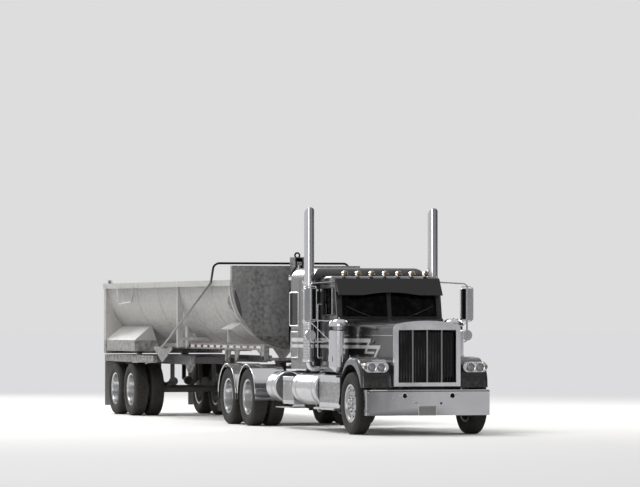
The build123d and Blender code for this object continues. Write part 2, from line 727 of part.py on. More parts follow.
lean = math.degrees(math.atan2(SCREEN_HEAD - SCREEN_FOOT, 2640 - COWL_TOP - 15))
middle_y = (SCREEN_FOOT + SCREEN_HEAD) / 2 + CAB_WALL / 2
pane = Pos(0, middle_y, (COWL_TOP + 15 + 2640) / 2) * Rot(-lean, 0, 0) * Box(2000, GLASS, 900)
panes = []
for side in (-1, 1):
    limits = sorted((side * SCREEN_HALF[0], side * SCREEN_HALF[1]))
    panes.append(pane & block(limits, (SCREEN_FOOT - 60, SCREEN_HEAD + 90), SCREEN_Z))
glass_x = (SLEEPER_HALF - CAB_WALL / 2 - GLASS / 2, SLEEPER_HALF - CAB_WALL / 2 + GLASS / 2)
panes += both_sides(wall_form(SLEEPER_WINDOW, glass_x))
save("cab_glass", panes)

# Inside: two seats, the dash with its wheel, and the bunk

SEAT_X = 480
SEAT_HALF = 255
FLOOR_TOP = CAB_FLOOR + CAB_WALL
CUSHION = (1450, 1580)
SEAT_Y = (1760, 2230)
SEAT_BACK_TOP = 2230
DASH = ((1350, 1540), (1720, 1930))
WHEEL = (450, 1690, 1960)
WHEEL_RADIUS = 225

inside = []
for place in (-SEAT_X, SEAT_X):
    seat = block((place - 180, place + 180), (1830, 2160), (FLOOR_TOP, CUSHION[0]))
    cushion = block((place - SEAT_HALF, place + SEAT_HALF), SEAT_Y, CUSHION)
    back = side_form(
        [(SEAT_Y[1] - 100, CUSHION[1] - 20), (SEAT_Y[1] - 40, SEAT_BACK_TOP)]
        + [(SEAT_Y[1] + 60, SEAT_BACK_TOP), (SEAT_Y[1] + 20, CUSHION[1] - 20)],
        (place - SEAT_HALF, place + SEAT_HALF),
    )
    inside.append(seat + fillet(cushion.edges().filter_by(Axis.Y), 40) + back)
dash = block((-CAB_HALF + CAB_WALL + 5, CAB_HALF - CAB_WALL - 5), *DASH)
steering = Pos(*WHEEL) * Rot(-35, 0, 0) * (Torus(WHEEL_RADIUS, 16) + Box(2 * WHEEL_RADIUS, 40, 14))
steering += Pos(*WHEEL) * Rot(-35, 0, 0) * Pos(0, 0, -130) * Cylinder(32, 260)
inside.append(dash + steering)
bunk_z = (SLEEPER_FLOOR + CAB_WALL, 1640)
bunk_half = SLEEPER_HALF - CAB_WALL - 60
inside.append(block((-bunk_half, bunk_half), (SLEEPER[0] + 650, SLEEPER[1] - 80), bunk_z))
save("cab_interior", inside)

# Drop visor over the screens, and seven bullet lamps along the roof's front

VISOR = ((SCREEN_HEAD - 12, 2700), (1290, 2412))
VISOR_WALL = 12
VISOR_ARCH = 2600
ROOF_LAMPS = 7
ROOF_LAMP_SPACING = 250
ROOF_LAMP_Y = (1590, 1750)
ROOF_LAMP_Z = 2792
ROOF_LAMP_RADIUS = 30

(top_y, top_z), (lip_y, lip_z) = VISOR
visor = side_form(
    [(top_y, top_z), (lip_y, lip_z), (lip_y + 8, lip_z - VISOR_WALL), (top_y + 60, top_z - VISOR_WALL)],
    (-CAB_HALF + 10, CAB_HALF - 10),
)
visor -= Pos(0, lip_y, lip_z - VISOR_ARCH + 45) * Rot(90, 0, 0) * Cylinder(VISOR_ARCH, 200)
for side in (-1, 1):
    gusset = sorted((side * (CAB_HALF - 10), side * (CAB_HALF - 20)))
    visor += side_form([(top_y + 40, top_z - 5), (lip_y + 60, lip_z + 60), (top_y + 10, lip_z + 40)], gusset)
save("sun_visor", visor - cab)

lamps = []
for index in range(ROOF_LAMPS):
    x = (index - (ROOF_LAMPS - 1) / 2) * ROOF_LAMP_SPACING
    lamp = rod_y(ROOF_LAMP_RADIUS, x, ROOF_LAMP_Y, ROOF_LAMP_Z)
    lamp += Pos(x, ROOF_LAMP_Y[0], ROOF_LAMP_Z) * Sphere(ROOF_LAMP_RADIUS)
    lamp += block((x - 14, x + 14), (ROOF_LAMP_Y[0] + 40, ROOF_LAMP_Y[1] - 10), (2690, ROOF_LAMP_Z))
    lamps.append(lamp - across(cab_side, CAB_HALF))
save("roof_lamps", lamps)

# Stacks: a guarded silencer each side, a mitred pipe above it and an elbow below

ELBOW_RADIUS = 50
ELBOW_Z = 1110
ELBOW_END = (510, 900)
MITRE = 2 * STACK_RADIUS
STAY_Z = (1500, 2480)

stack = rod_z(STACK_RADIUS, STACK_X, STACK_Y, (GUARD[1] - 20, STACK_TOP))
stack -= rod_z(STACK_RADIUS - 5, STACK_X, STACK_Y, (STACK_TOP - 500, STACK_TOP + 1))
stack -= side_form(
    [(STACK_Y - STACK_RADIUS - 1, STACK_TOP + 1), (STACK_Y + STACK_RADIUS + 1, STACK_TOP + 1)]
    + [(STACK_Y + STACK_RADIUS + 1, STACK_TOP - MITRE)],
    (STACK_X - STACK_RADIUS - 1, STACK_X + STACK_RADIUS + 1),
)
stack += rod_z(GUARD_RADIUS, STACK_X, STACK_Y, GUARD)
stack += pipe(
    [(STACK_X, STACK_Y, GUARD[0] + 5), (STACK_X, STACK_Y, ELBOW_Z), (ELBOW_END[0], STACK_Y, ELBOW_Z)]
    + [(ELBOW_END[0], STACK_Y, ELBOW_END[1])],
    90,
    ELBOW_RADIUS,
)
for z in STAY_Z:
    stack += block((SLEEPER_HALF - 120, STACK_X), (STACK_Y, SLEEPER[0]), (z, z + 40))
save("exhaust_stacks", both_sides(stack))

# Air cleaners: upright canisters beside the cowl, banded, with a domed cap

CAP_TOP = 2000
CLEANER_FOOT = 90
BANDS = (1320, 1450)

profile = outline(
    [(0, CLEANER[0] - CLEANER_FOOT), (70, CLEANER[0] - CLEANER_FOOT), (CLEANER_RADIUS, CLEANER[0])]
    + [(CLEANER_RADIUS, CLEANER[1]), (CLEANER_RADIUS - 25, CLEANER[1] + 20)]
    + [(CLEANER_RADIUS - 25, CLEANER[1] + 70), (CLEANER_RADIUS, CLEANER[1] + 80)]
    + [((CLEANER_RADIUS - 30, CAP_TOP - 45), (70, CAP_TOP - 6)), (0, CAP_TOP)]
)
cleaner = revolve(Plane.XZ * profile, Axis.Z)
for z in BANDS:
    cleaner += rod_z(CLEANER_RADIUS + 4, 0, 0, (z, z + 35))
cleaner = Pos(CLEANER_X, CLEANER_Y, 0) * cleaner
cleaner += block((CAB_HALF - 90, CAB_HALF - 20), (CLEANER_Y + 60, CAB_FRONT), (1360, 1480))
save("air_cleaners", both_sides(cleaner))

# Mirrors: a tall head on a bent tube stayed to the cab's corner, with a round one below

ROUND_MIRROR_Z = 1700
ROUND_MIRROR_RADIUS = 95
STAY_HEIGHTS = (2640, 1600)

tube_y = MIRROR_Y
mirror_tube = pipe(
    [(CAB_HALF - 30, tube_y + 120, STAY_HEIGHTS[0]), (MIRROR_X, tube_y, STAY_HEIGHTS[0] - 30)]
    + [(MIRROR_X, tube_y, STAY_HEIGHTS[1] - 20), (CAB_HALF - 30, tube_y - 40, STAY_HEIGHTS[1])],
    60,
    BRACKET_TUBE,
)
head = block(
    (MIRROR_X - MIRROR_HALF_WIDTH, MIRROR_X + MIRROR_HALF_WIDTH), (tube_y - 12, tube_y + 42), MIRROR
)
head = fillet(head.edges().filter_by(Axis.Y), 25)
mirror_piece = mirror_tube + head
mirror_piece += rod_y(ROUND_MIRROR_RADIUS, MIRROR_X, (tube_y - 10, tube_y + 35), ROUND_MIRROR_Z)
solid_cab = across(cab_side, CAB_HALF)
save("mirrors", [piece - solid_cab for piece in both_sides(mirror_piece)])

# Tanks: strapped fuel tanks, and the hoist's oil tank with its filler

STRAP = 60
STRAP_PLACES = (0.15, 0.85)
TANK_ROUND = 35
CRADLE_X = (RAIL_OUTER_X, 640)


def drum(radius, x, y, z):
    """A lying tank with rounded ends."""
    form = rod_y(radius, x, y, z)
    return fillet(form.edges().filter_by(GeomType.CIRCLE), TANK_ROUND)


tank = drum(TANK_RADIUS, TANK_X, TANK, TANK_Z)
for share in STRAP_PLACES:
    place = TANK[0] + share * (TANK[1] - TANK[0])
    tank += rod_y(TANK_RADIUS + 6, TANK_X, (place - STRAP / 2, place + STRAP / 2), TANK_Z)
    tank += block(CRADLE_X, (place - STRAP / 2, place + STRAP / 2), (TANK_Z - 60, RAIL_TOP - 30))
oil = Pos(0, 0, 0) * drum(OIL_TANK_RADIUS, -TANK_X, OIL_TANK, TANK_Z)
oil += rod_y(OIL_TANK_RADIUS + 6, -TANK_X, (OIL_TANK[0] + 200, OIL_TANK[0] + 200 + STRAP), TANK_Z)
oil += block((-CRADLE_X[1], -CRADLE_X[0]), (OIL_TANK[0] + 200, OIL_TANK[0] + 260), (TANK_Z - 40, RAIL_TOP - 30))
filler = Pos(-TANK_X - 150, OIL_TANK[0] + 120, TANK_Z + 225) * Rot(0, -35, 0) * Cylinder(42, 70)
save("side_tanks", both_sides(tank) + [oil + filler])

# Boxes: battery and tool boxes whose treads are the cab's steps, and a box behind the tank

TREAD = 30
LOWER_TREAD = (400, 430)
BOX_TOP = 1000

step_box = front_form(
    [(RAIL_OUTER_X, 700), (620, 700), (620, 480), (1060, 480), (1060, LOWER_TREAD[0])]
    + [(STEP_OUTER, LOWER_TREAD[0]), (STEP_OUTER, LOWER_TREAD[1]), (1090, LOWER_TREAD[1])]
    + [(1090, BOX_TOP - TREAD), (STEP_OUTER - 40, BOX_TOP - TREAD), (STEP_OUTER - 40, BOX_TOP)]
    + [(620, BOX_TOP), (620, 900), (RAIL_OUTER_X, 900)],
    STEP_BOX,
)
rear_box = block((RAIL_OUTER_X, 1120), REAR_BOX, (450, 950))
rear_box = fillet(rear_box.edges().filter_by(lambda edge: edge.center().X > 1119), 15)
rear_box += block((900, 1150), (REAR_BOX[0], REAR_BOX[1] + 350), (380, 395))
rear_box += block((900, 915), (REAR_BOX[0], REAR_BOX[1]), (380, 460))
save("tool_boxes", both_sides(step_box) + both_sides(rear_box))

# Full fenders over the drive wheels, each on two arms from the frame

foot_angle = math.degrees(math.asin((TYRE_RADIUS - WRAP_FOOT) / WRAP_RADIUS))
wraps = []
for place in DRIVE_AXLES:
    ring = rod_x(WRAP_RADIUS + WRAP_WALL, WRAP_X, place, TYRE_RADIUS)
    ring -= rod_x(WRAP_RADIUS, (WRAP_X[0] - 1, WRAP_X[1] + 1), place, TYRE_RADIUS)
    ring -= block((0, 2000), (place - 700, place + 700), (-200, WRAP_FOOT))
    for turn in (-45, 45):
        y = place + (WRAP_RADIUS + WRAP_WALL / 2) * math.sin(math.radians(turn))
        z = TYRE_RADIUS + (WRAP_RADIUS + WRAP_WALL / 2) * math.cos(math.radians(turn))
        ring += rod_x(22, (RAIL_OUTER_X, WRAP_X[0] + 40), y, z - 40) - rod_x(
            WRAP_RADIUS - 1, (0, 2000), place, TYRE_RADIUS
        )
    wraps += both_sides(ring)
save("drive_fenders", wraps)

flap_y = DRIVE_AXLES[1] + WRAP_RADIUS + 75
flaps = []
for piece in both_sides(block((610, 1200), (flap_y, flap_y + 8), (230, 930))):
    flaps.append(piece)
hanger = block((RAIL_OUTER_X, 1200), (flap_y - 30, flap_y), (900, 930))
hanger += block((RAIL_OUTER_X, RAIL_OUTER_X + 20), (RAIL_REAR - 120, flap_y), (820, 930))
save("tractor_mudflaps", [flap + arm for flap, arm in zip(flaps, both_sides(hanger))])

# Fifth wheel: a round plate with a throat open to the rear, on two stands

WHEEL_PLATE_RADIUS = 460
WHEEL_PLATE_WALL = 45
THROAT_HALF = 110
STAND_X = (300, 420)

plate = rod_z(WHEEL_PLATE_RADIUS, 0, KINGPIN_Y, (PLATE_TOP - WHEEL_PLATE_WALL, PLATE_TOP))
throat = plan_form(
    [(-PIN_RADIUS - PIN_GAP, KINGPIN_Y), (PIN_RADIUS + PIN_GAP, KINGPIN_Y)]
    + [(PIN_RADIUS + PIN_GAP, KINGPIN_Y + 90), (THROAT_HALF, KINGPIN_Y + 500)]
    + [(-THROAT_HALF, KINGPIN_Y + 500), (-PIN_RADIUS - PIN_GAP, KINGPIN_Y + 90)],
    (PLATE_TOP - 200, PLATE_TOP + 1),
)
plate -= throat
plate -= rod_z(PIN_RADIUS + PIN_GAP, 0, KINGPIN_Y, (PLATE_TOP - 200, PLATE_TOP + 1))
for side in (-1, 1):
    stand = sorted((side * STAND_X[0], side * STAND_X[1]))
    plate += block(stand, (KINGPIN_Y - 160, KINGPIN_Y + 160), (RAIL_TOP, PLATE_TOP - WHEEL_PLATE_WALL))
save("fifth_wheel", plate)

# Coupler: the trailer's front plate with its kingpin, the hoist's stand and the arms' pins

COUPLER = ((-460, 460), (6220, 7460), (PLATE_TOP + 2, PLATE_TOP + 18))
BEAM_TOP = 1262
EAR_X = (705, 755)
EAR_RADIUS = 58
HOIST_EAR_X = (112, 150)
HOIST_PIN_RADIUS = 28

coupler = block(*COUPLER) + rod_z(PIN_RADIUS, 0, KINGPIN_Y, (PLATE_TOP - 70, COUPLER[2][0]))
coupler += block((-EAR_X[0], EAR_X[0]), (COUPLER_PIVOT - 130, COUPLER_PIVOT + 130), (COUPLER[2][0], BEAM_TOP))
for side in (-1, 1):
    ear_x = sorted((side * EAR_X[0], side * EAR_X[1]))
    pin_x = sorted((side * EAR_X[0], side * (ARM_X[1] + 20)))
    coupler += block(ear_x, (COUPLER_PIVOT - 130, COUPLER_PIVOT + 130), (LINK_Z - 40, BEAM_TOP))
    coupler += rod_x(EAR_RADIUS, ear_x, COUPLER_PIVOT, LINK_Z)
    coupler += rod_x(LINK_PIN_RADIUS, pin_x, COUPLER_PIVOT, LINK_Z)
    hoist_ear = sorted((side * HOIST_EAR_X[0], side * HOIST_EAR_X[1]))
    coupler += side_form(
        [(HOIST_Y - 110, COUPLER[2][1]), (HOIST_Y - 60, HOIST_FOOT + 45), (HOIST_Y + 60, HOIST_FOOT + 45)]
        + [(HOIST_Y + 110, COUPLER[2][1])],
        hoist_ear,
    )
coupler -= rod_x(HOIST_PIN_RADIUS + BEARING_GAP, (-HOIST_EAR_X[1] - 1, HOIST_EAR_X[1] + 1), HOIST_Y, HOIST_FOOT)
save("coupler", coupler)

# Hoist: a barrel on its pin and four nested stages, the last with the eye at the bulkhead

HOIST_LEAN = math.degrees(math.atan2(HOIST_HEAD_Y - HOIST_Y, HOIST_HEAD - HOIST_FOOT))
HOIST_CLOSED = math.hypot(HOIST_HEAD_Y - HOIST_Y, HOIST_HEAD - HOIST_FOOT)
BARREL_FOOT = -105
BARREL_HEAD = 1500
STAGE_STEP = 28
GLAND = 40
HOIST_EYE_RADIUS = 50
HOIST_EYE_HALF = 48

for radius, index in HOIST_STAGES:
    foot = BARREL_FOOT + 20 * index
    head = BARREL_HEAD + STAGE_STEP * index
    tube = rod_z(radius, 0, 0, (foot, head))
    if index < len(HOIST_STAGES) - 1:
        tube -= rod_z(radius - HOIST_WALL, 0, 0, (foot + 15, head + 1))
        ring = rod_z(radius + 5, 0, 0, (head - GLAND, head)) - rod_z(radius - 1, 0, 0, (head - GLAND, head))
        tube += ring if index == 0 else ring & rod_z(radius + 5, 0, 0, (head - STAGE_STEP + 6, head))
    else:
        tube += rod_z(radius - 8, 0, 0, (head, HOIST_CLOSED))
        tube += rod_x(HOIST_EYE_RADIUS, (-HOIST_EYE_HALF, HOIST_EYE_HALF), 0, HOIST_CLOSED)
    if index == 0:
        for side in (-1, 1):
            trunnion = sorted((side * (radius - HOIST_WALL + 1), side * HOIST_EAR_X[1]))
            tube += rod_x(HOIST_PIN_RADIUS, trunnion, 0, 0)
    name = "hoist_barrel" if index == 0 else f"hoist_stage_{index}"
    save(name, Pos(0, HOIST_Y, HOIST_FOOT) * Rot(-HOIST_LEAN, 0, 0) * tube)

# Draft arms: long box beams from the coupler's pins to the tub's middle

arm = side_form(
    [(COUPLER_PIVOT - EAR_RADIUS, LINK_Z), (COUPLER_PIVOT - EAR_RADIUS, ARM_Z[1] - 30)]
    + [(COUPLER_PIVOT - 30, ARM_Z[1]), (ARM_PIVOT, ARM_Z[1]), (ARM_PIVOT, ARM_Z[0])]
    + [(COUPLER_PIVOT + 450, ARM_Z[0]), (COUPLER_PIVOT + EAR_RADIUS, LINK_Z)],
    ARM_X,
)
arm += rod_x(EAR_RADIUS, ARM_X, COUPLER_PIVOT, LINK_Z)
arm_pivot_z = sum(ARM_Z) / 2
arm += rod_x((ARM_Z[1] - ARM_Z[0]) / 2, ARM_X, ARM_PIVOT, arm_pivot_z)
for y, z in ((COUPLER_PIVOT, LINK_Z), (ARM_PIVOT, arm_pivot_z)):
    arm -= rod_x(LINK_PIN_RADIUS + BEARING_GAP, (ARM_X[0] - 1, ARM_X[1] + 1), y, z)
save("draft_arms", both_sides(arm))

LEG_Y = 8950
LEG_HALF = 45
LEG_X = (768, 857)
LEG_Z = (620, 1400)
FOOT_Z = (430, 450)
BRACE_Z = 1050
GUSSETS = ((8950, 190, 60, 1130), (8310, 170, 40, 1190))

leg = block(LEG_X, (LEG_Y - LEG_HALF, LEG_Y + LEG_HALF), LEG_Z)
leg += block((LEG_X[0] + 12, LEG_X[1] - 12), (LEG_Y - LEG_HALF + 12, LEG_Y + LEG_HALF - 12), (FOOT_Z[1], LEG_Z[0]))
leg += block((LEG_X[0] - 30, LEG_X[1] + 30), (LEG_Y - 90, LEG_Y + 90), FOOT_Z)
gusset_x = (LEG_X[0] + 30, LEG_X[1] - 30)
for middle, top_half, foot_half, foot_z in GUSSETS:
    leg += side_form(
        [(middle - top_half, LEG_Z[1]), (middle + top_half, LEG_Z[1])]
        + [(middle + foot_half, foot_z), (middle - foot_half, foot_z)],
        gusset_x,
    )
left_leg, right_leg = both_sides(leg)
brace = rod_x(30, (-LEG_X[0] - 10, LEG_X[0] + 10), LEG_Y, BRACE_Z)
save("landing_gear", left_leg + right_leg + brace)

# Tub: a half-round skin of long rolled plates, welded edge to edge, with a folded bulkhead

def tub_outline(radius, top):
    """The tub's section: a half circle under upright sides."""
    return [
        (-radius, top),
        (-radius, TUB_CENTRE_Z),
        ((0, TUB_CENTRE_Z - radius), (radius, TUB_CENTRE_Z)),
        (radius, top),
    ]


def skin_x(radius, z):
    """Half the width of the half circle at a height."""
    return math.sqrt(radius**2 - (TUB_CENTRE_Z - z) ** 2)


tub_solid = front_form(tub_outline(TUB_RADIUS, TUB_TOP), (TUB[0], TUB[1] + 200))
PLATES = 8


def plate_point(radius, turn):
    """A point of the tub's section, turn degrees round from straight down."""
    turn = math.radians(turn)
    return (radius * math.sin(turn), TUB_CENTRE_Z - radius * math.cos(turn))


def rolled_plate(start, end):
    """One long plate of the half circle between two angles."""
    outside, inside = TUB_RADIUS, TUB_RADIUS - TUB_WALL
    middle = (start + end) / 2
    return front_form(
        [plate_point(outside, start), (plate_point(outside, middle), plate_point(outside, end))]
        + [plate_point(inside, end), (plate_point(inside, middle), plate_point(inside, start))],
        TUB,
    )


step = 180 / PLATES
skin = [rolled_plate(index * step - 90, (index + 1) * step - 90) for index in range(PLATES)]
skin += both_sides(block((TUB_RADIUS - TUB_WALL, TUB_RADIUS), TUB, (TUB_CENTRE_Z, TUB_TOP)))
FOLD = 100
FOLD_X = (600, 900)
LENS = ((1062, 2010), (1205, 2540), (1110, 2290), (1178, 2250))
LENS_DEPTH = 70
RECESS_SLOPE = 0.66
RECESS_MARGIN = 110
RECESS_HALF = 120
RECESS_TOP = 2790
RECESS_FOOT = TUB_CENTRE_Z - TUB_RADIUS - 90
bulkhead = plan_form(
    [(-BULKHEAD_HALF, BULKHEAD_FRONT), (-FOLD_X[1], BULKHEAD_FRONT), (-FOLD_X[0], BULKHEAD_FRONT + FOLD)]
    + [(FOLD_X[0], BULKHEAD_FRONT + FOLD), (FOLD_X[1], BULKHEAD_FRONT), (BULKHEAD_HALF, BULKHEAD_FRONT)]
    + [(BULKHEAD_HALF, TUB[0]), (-BULKHEAD_HALF, TUB[0])],
    (RECESS_FOOT, BULKHEAD_TOP),
)
bulkhead &= front_form(tub_outline(BULKHEAD_HALF, BULKHEAD_TOP), (BULKHEAD_FRONT - 1, TUB[0] + 1))
for side in (-1, 1):
    low, high, inner, outer = [(side * x, z) for x, z in LENS]
    bulkhead -= front_form([low, (inner, high), (outer, low)], (BULKHEAD_FRONT - 1, BULKHEAD_FRONT + LENS_DEPTH))

# The recess that clears the hoist as the tub tips over it
def recess_y(z):
    """How far back the hoist's rear side reaches at a height of the resting tub."""
    return HOIST_HEAD_Y + (HOIST_HEAD - z) * RECESS_SLOPE + RECESS_MARGIN


def recess_form(top, half, grow):
    """The recess as a wedge that is open in front and below."""
    return side_form(
        [(BULKHEAD_FRONT - 50, top), (recess_y(top) + grow, top)]
        + [(recess_y(RECESS_FOOT) + grow, RECESS_FOOT), (BULKHEAD_FRONT - 50, RECESS_FOOT)],
        (-half, half),
    )


recess = recess_form(RECESS_TOP, RECESS_HALF, 0)
housing = recess_form(RECESS_TOP + TUB_WALL, RECESS_HALF + TUB_WALL, TUB_WALL * 1.2)
housing &= tub_solid + bulkhead
HEAD_EAR_X = (HOIST_EYE_HALF + 20, HOIST_EYE_HALF + 44)
head = bulkhead + housing - recess
for side in (-1, 1):
    head += side_form(
        [(HOIST_HEAD_Y - 60, HOIST_HEAD - 60), (HOIST_HEAD_Y - 60, HOIST_HEAD + 120)]
        + [(BULKHEAD_FRONT + FOLD + 1, HOIST_HEAD + 120), (BULKHEAD_FRONT + FOLD + 1, HOIST_HEAD - 200)],
        sorted((side * HEAD_EAR_X[0], side * HEAD_EAR_X[1])),
    )
head += block(
    (-HEAD_EAR_X[1], HEAD_EAR_X[1]),
    (HOIST_HEAD_Y - 60, BULKHEAD_FRONT + FOLD),
    (HOIST_HEAD + 105, HOIST_HEAD + 120),
)
head += block(
    (-HEAD_EAR_X[1], HEAD_EAR_X[1]),
    (BULKHEAD_FRONT + FOLD, TUB[0]),
    (BULKHEAD_TOP - 1, HOIST_HEAD + 120),
)
save("tub_shell", [head] + [plate - housing for plate in skin])

# Tub frame: top rails, side ribs, rear portal, wheel shields, and what the linkage holds

RIB = 60
RIB_FOOT = 1600
FRONT_RIB = (TUB[0], TUB[0] + 80)
POST = ((TUB_RADIUS - 80, TUB_RADIUS + 30), (11030, 11130))
POST_FOOT = 1430
POST_STRUT = 60
ARM_HEADROOM = 50
PORTAL_Y = (16730, TUB[1])
PORTAL_HALF = TUB_RADIUS + 50
PORTAL_FOOT = 1262
SHIELD_Y = (14400, 16730)
SHIELD = ((skin_x(TUB_RADIUS, 1850) - 22, 1850), (TUB_RADIUS + 30, 1550), 1320)
SHIELD_WALL = 15
TARP_PIVOT = (11830, 1430)
OUTRIGGER_X = TUB_RADIUS + 100
OUTRIGGER = [(440, 1560), (OUTRIGGER_X, 1480), (OUTRIGGER_X, 1400), (150, 1400), (150, 1470)]
HANGER = [(11460, 1385), (11460, 1430), (12850, 1430), (12850, 1385), (12230, 1120)]
HANGER_X = (TUB_RADIUS + 20, TUB_RADIUS + 32)
SHELF_EDGE = TUB_RADIUS + 50
SHELF = [(880, 1960), (1080, 1900), (SHELF_EDGE, 1800), (SHELF_EDGE - 8, 1785), (1075, 1885), (880, 1942)]
SHELF_Y = (7100, 7800)
LOOP_X = (-TUB_RADIUS - 70, -TUB_RADIUS - 110)
LOOP = [
    (LOOP_X[0], 14280, TUB_TOP - 60), (LOOP_X[1], 14350, 2330),
    (LOOP_X[1], 15350, 2280), (LOOP_X[0], 15700, TUB_TOP - 60),
]
LOOP_TUBE = 16
SHELF_POST = ((1090, 1150), (7740, 7790), (1540, 1880))
TARP_X = TUB_RADIUS + 125
TARP_PIN = 20

outer = TUB_RADIUS + RIB
pieces = [block((TUB_RADIUS, TUB_RADIUS + 80), (BULKHEAD_FRONT, TUB[1]), (TUB_TOP - RAIL_SECTION[1], TUB_TOP))]
pieces.append(front_form(
    [(TUB_RADIUS, TUB_TOP - 60), (outer, TUB_TOP - 60), (outer, TUB_CENTRE_Z)]
    + [((skin_x(outer, 2000), 2000), (skin_x(outer, RIB_FOOT), RIB_FOOT))]
    + [(skin_x(TUB_RADIUS, RIB_FOOT), RIB_FOOT)]
    + [((skin_x(TUB_RADIUS, 2000), 2000), (TUB_RADIUS, TUB_CENTRE_Z))],
    FRONT_RIB,
))
pieces.append(block(*POST, (POST_FOOT, TUB_TOP - RAIL_SECTION[1] + 1)))
strut_z = (ARM_Z[1] + ARM_HEADROOM, ARM_Z[1] + ARM_HEADROOM + POST_STRUT)
pieces.append(block((skin_x(TUB_RADIUS, strut_z[0]) - 60, POST[0][1]), POST[1], strut_z))
(top_x, top_z), (edge_x, edge_z), skirt_z = SHIELD
shield = front_form(
    [(top_x, top_z), (edge_x, edge_z), (edge_x, skirt_z), (edge_x - SHIELD_WALL, skirt_z)]
    + [(edge_x - SHIELD_WALL, edge_z - 5), (top_x - 12, top_z - SHIELD_WALL)],
    SHIELD_Y,
)
front_wall = front_form(
    [(top_x, top_z), (edge_x, edge_z), (edge_x, skirt_z), (700, skirt_z)],
    (SHIELD_Y[0], SHIELD_Y[0] + SHIELD_WALL),
)
pieces += [shield, front_wall]
pieces.append(front_form(OUTRIGGER, (TARP_PIVOT[0] - 20, TARP_PIVOT[0] + 20)))
pieces.append(side_form(HANGER, HANGER_X))
pieces.append(front_form(SHELF, SHELF_Y))
pieces.append(block(SHELF_POST[0], SHELF_POST[1], SHELF_POST[2]))
for x in (EAR_X, (ARM_X[1] + 10, ARM_X[1] + 45)):
    pieces.append(side_form(
        [(ARM_PIVOT - 80, ARM_Z[0]), (ARM_PIVOT - 80, 1880), (ARM_PIVOT + 80, 1880), (ARM_PIVOT + 80, ARM_Z[0])],
        x,
    ))
frame_half = pieces[0]
for piece in pieces[1:]:
    frame_half += piece
frame_half -= tub_solid + bulkhead
frame_half += rod_x(LINK_PIN_RADIUS, (EAR_X[0], ARM_X[1] + 45), ARM_PIVOT, arm_pivot_z)
frame_half += rod_x(TARP_PIN, (TARP_X - 65, TARP_X + 25), *TARP_PIVOT)
TUB_EAR_X = (500, 535)
TAIL_EAR_RADIUS = 42
tail = block((0, PORTAL_HALF), PORTAL_Y, (PORTAL_FOOT, TUB_TOP)) - tub_solid
tail += side_form(
    [(PORTAL_Y[0], PORTAL_FOOT + 20), (PORTAL_Y[1], PORTAL_FOOT + 20), (BOGIE_PIVOT, LINK_Z + TAIL_EAR_RADIUS)]
    + [(BOGIE_PIVOT, LINK_Z - TAIL_EAR_RADIUS), (PORTAL_Y[0], PORTAL_FOOT - 20)],
    TUB_EAR_X,
)
tail += rod_x(TAIL_EAR_RADIUS, TUB_EAR_X, BOGIE_PIVOT, LINK_Z)
tail += rod_x(LINK_PIN_RADIUS, (430, TUB_EAR_X[1]), BOGIE_PIVOT, LINK_Z)
GATE_PIVOT = (16896, 2765)
GATE_EAR_X = (1100, 1130)
tail += side_form(
    [(PORTAL_Y[0] + 40, TUB_TOP - 1), (GATE_PIVOT[0] - 40, GATE_PIVOT[1] + 30)]
    + [(GATE_PIVOT[0] + 30, GATE_PIVOT[1] + 30), (GATE_PIVOT[0] + 30, GATE_PIVOT[1] - 30)]
    + [(PORTAL_Y[1], TUB_TOP - 1)],
    GATE_EAR_X,
)
tail += rod_x(18, (GATE_EAR_X[0], GATE_EAR_X[1] + 50), *GATE_PIVOT)
right_tail = mirror(tail, Plane.YZ)
left_half, right_half = both_sides(frame_half - tail)
save("tub_frame", [tail, right_tail, left_half, right_half + pipe(LOOP, 60, LOOP_TUBE)])

# Tailgate: a ribbed plate hung from pins at the portal's top

GATE_HALF = TUB_RADIUS + 35
GATE = ((-GATE_HALF, GATE_HALF), (16862, 16880), (1300, 2700))
GATE_RIBS = (-1215, -620, 0, 620, 1215)
GATE_BARS = (1340, 2000, 2660)
GATE_RIB = 50

gate = block(*GATE)
for x in GATE_RIBS:
    gate += block((x - 40, x + 40), (GATE[1][1] - 1, GATE[1][1] + GATE_RIB), GATE[2])
for z in GATE_BARS:
    gate += block(GATE[0], (GATE[1][1] - 1, GATE[1][1] + GATE_RIB), (z - 40, z + 40))
for side in (-1, 1):
    x = sorted((side * (GATE_EAR_X[1] + 8), side * (GATE_EAR_X[1] + 38)))
    gate += block(x, (GATE[1][0], GATE[1][1] + GATE_RIB), (GATE[2][1] - 5, GATE_PIVOT[1]))
    gate += rod_x(34, x, *GATE_PIVOT)
for side in (-1, 1):
    x = sorted((side * (GATE_EAR_X[1] + 7), side * (GATE_EAR_X[1] + 60)))
    gate -= rod_x(18 + BEARING_GAP, x, *GATE_PIVOT)
save("tailgate", gate)

# Tarp bow: a bent tube over the tub, turning on pins low on the tub's sides

TARP_KINK = (8260, 2680)
TARP_CORNER = (8050, 3045)
TARP_TUBE = 21

half_path = [(TARP_X, *TARP_PIVOT), (TARP_X, *TARP_KINK), (TARP_X, *TARP_CORNER)]
bow = pipe(half_path + [(-x, y, z) for x, y, z in reversed(half_path)], 110, TARP_TUBE)
for side in (-1, 1):
    x = sorted((side * (TARP_X - 25), side * (TARP_X + 25)))
    bow += rod_x(42, x, *TARP_PIVOT)
for side in (-1, 1):
    x = sorted((side * (TARP_X - 30), side * (TARP_X + 30)))
    bow -= rod_x(TARP_PIN + BEARING_GAP, x, *TARP_PIVOT)
save("tarp_bow", bow)

# Bogie: the trailer's rear frame, hinged under the tub's tail, with its springs and axles

BOGIE_RAIL = ((400, 480), (12850, 17040), (1060, 1240))
BOGIE_CROSS = (13100, 14300, 15600, 16600)
SIDE_RAIL = ((1120, 1200), (13100, 17040), (1100, 1240))
LIGHT_BAR_Y = (17040, 17080)
BOGIE_EAR_X = (445, 490)

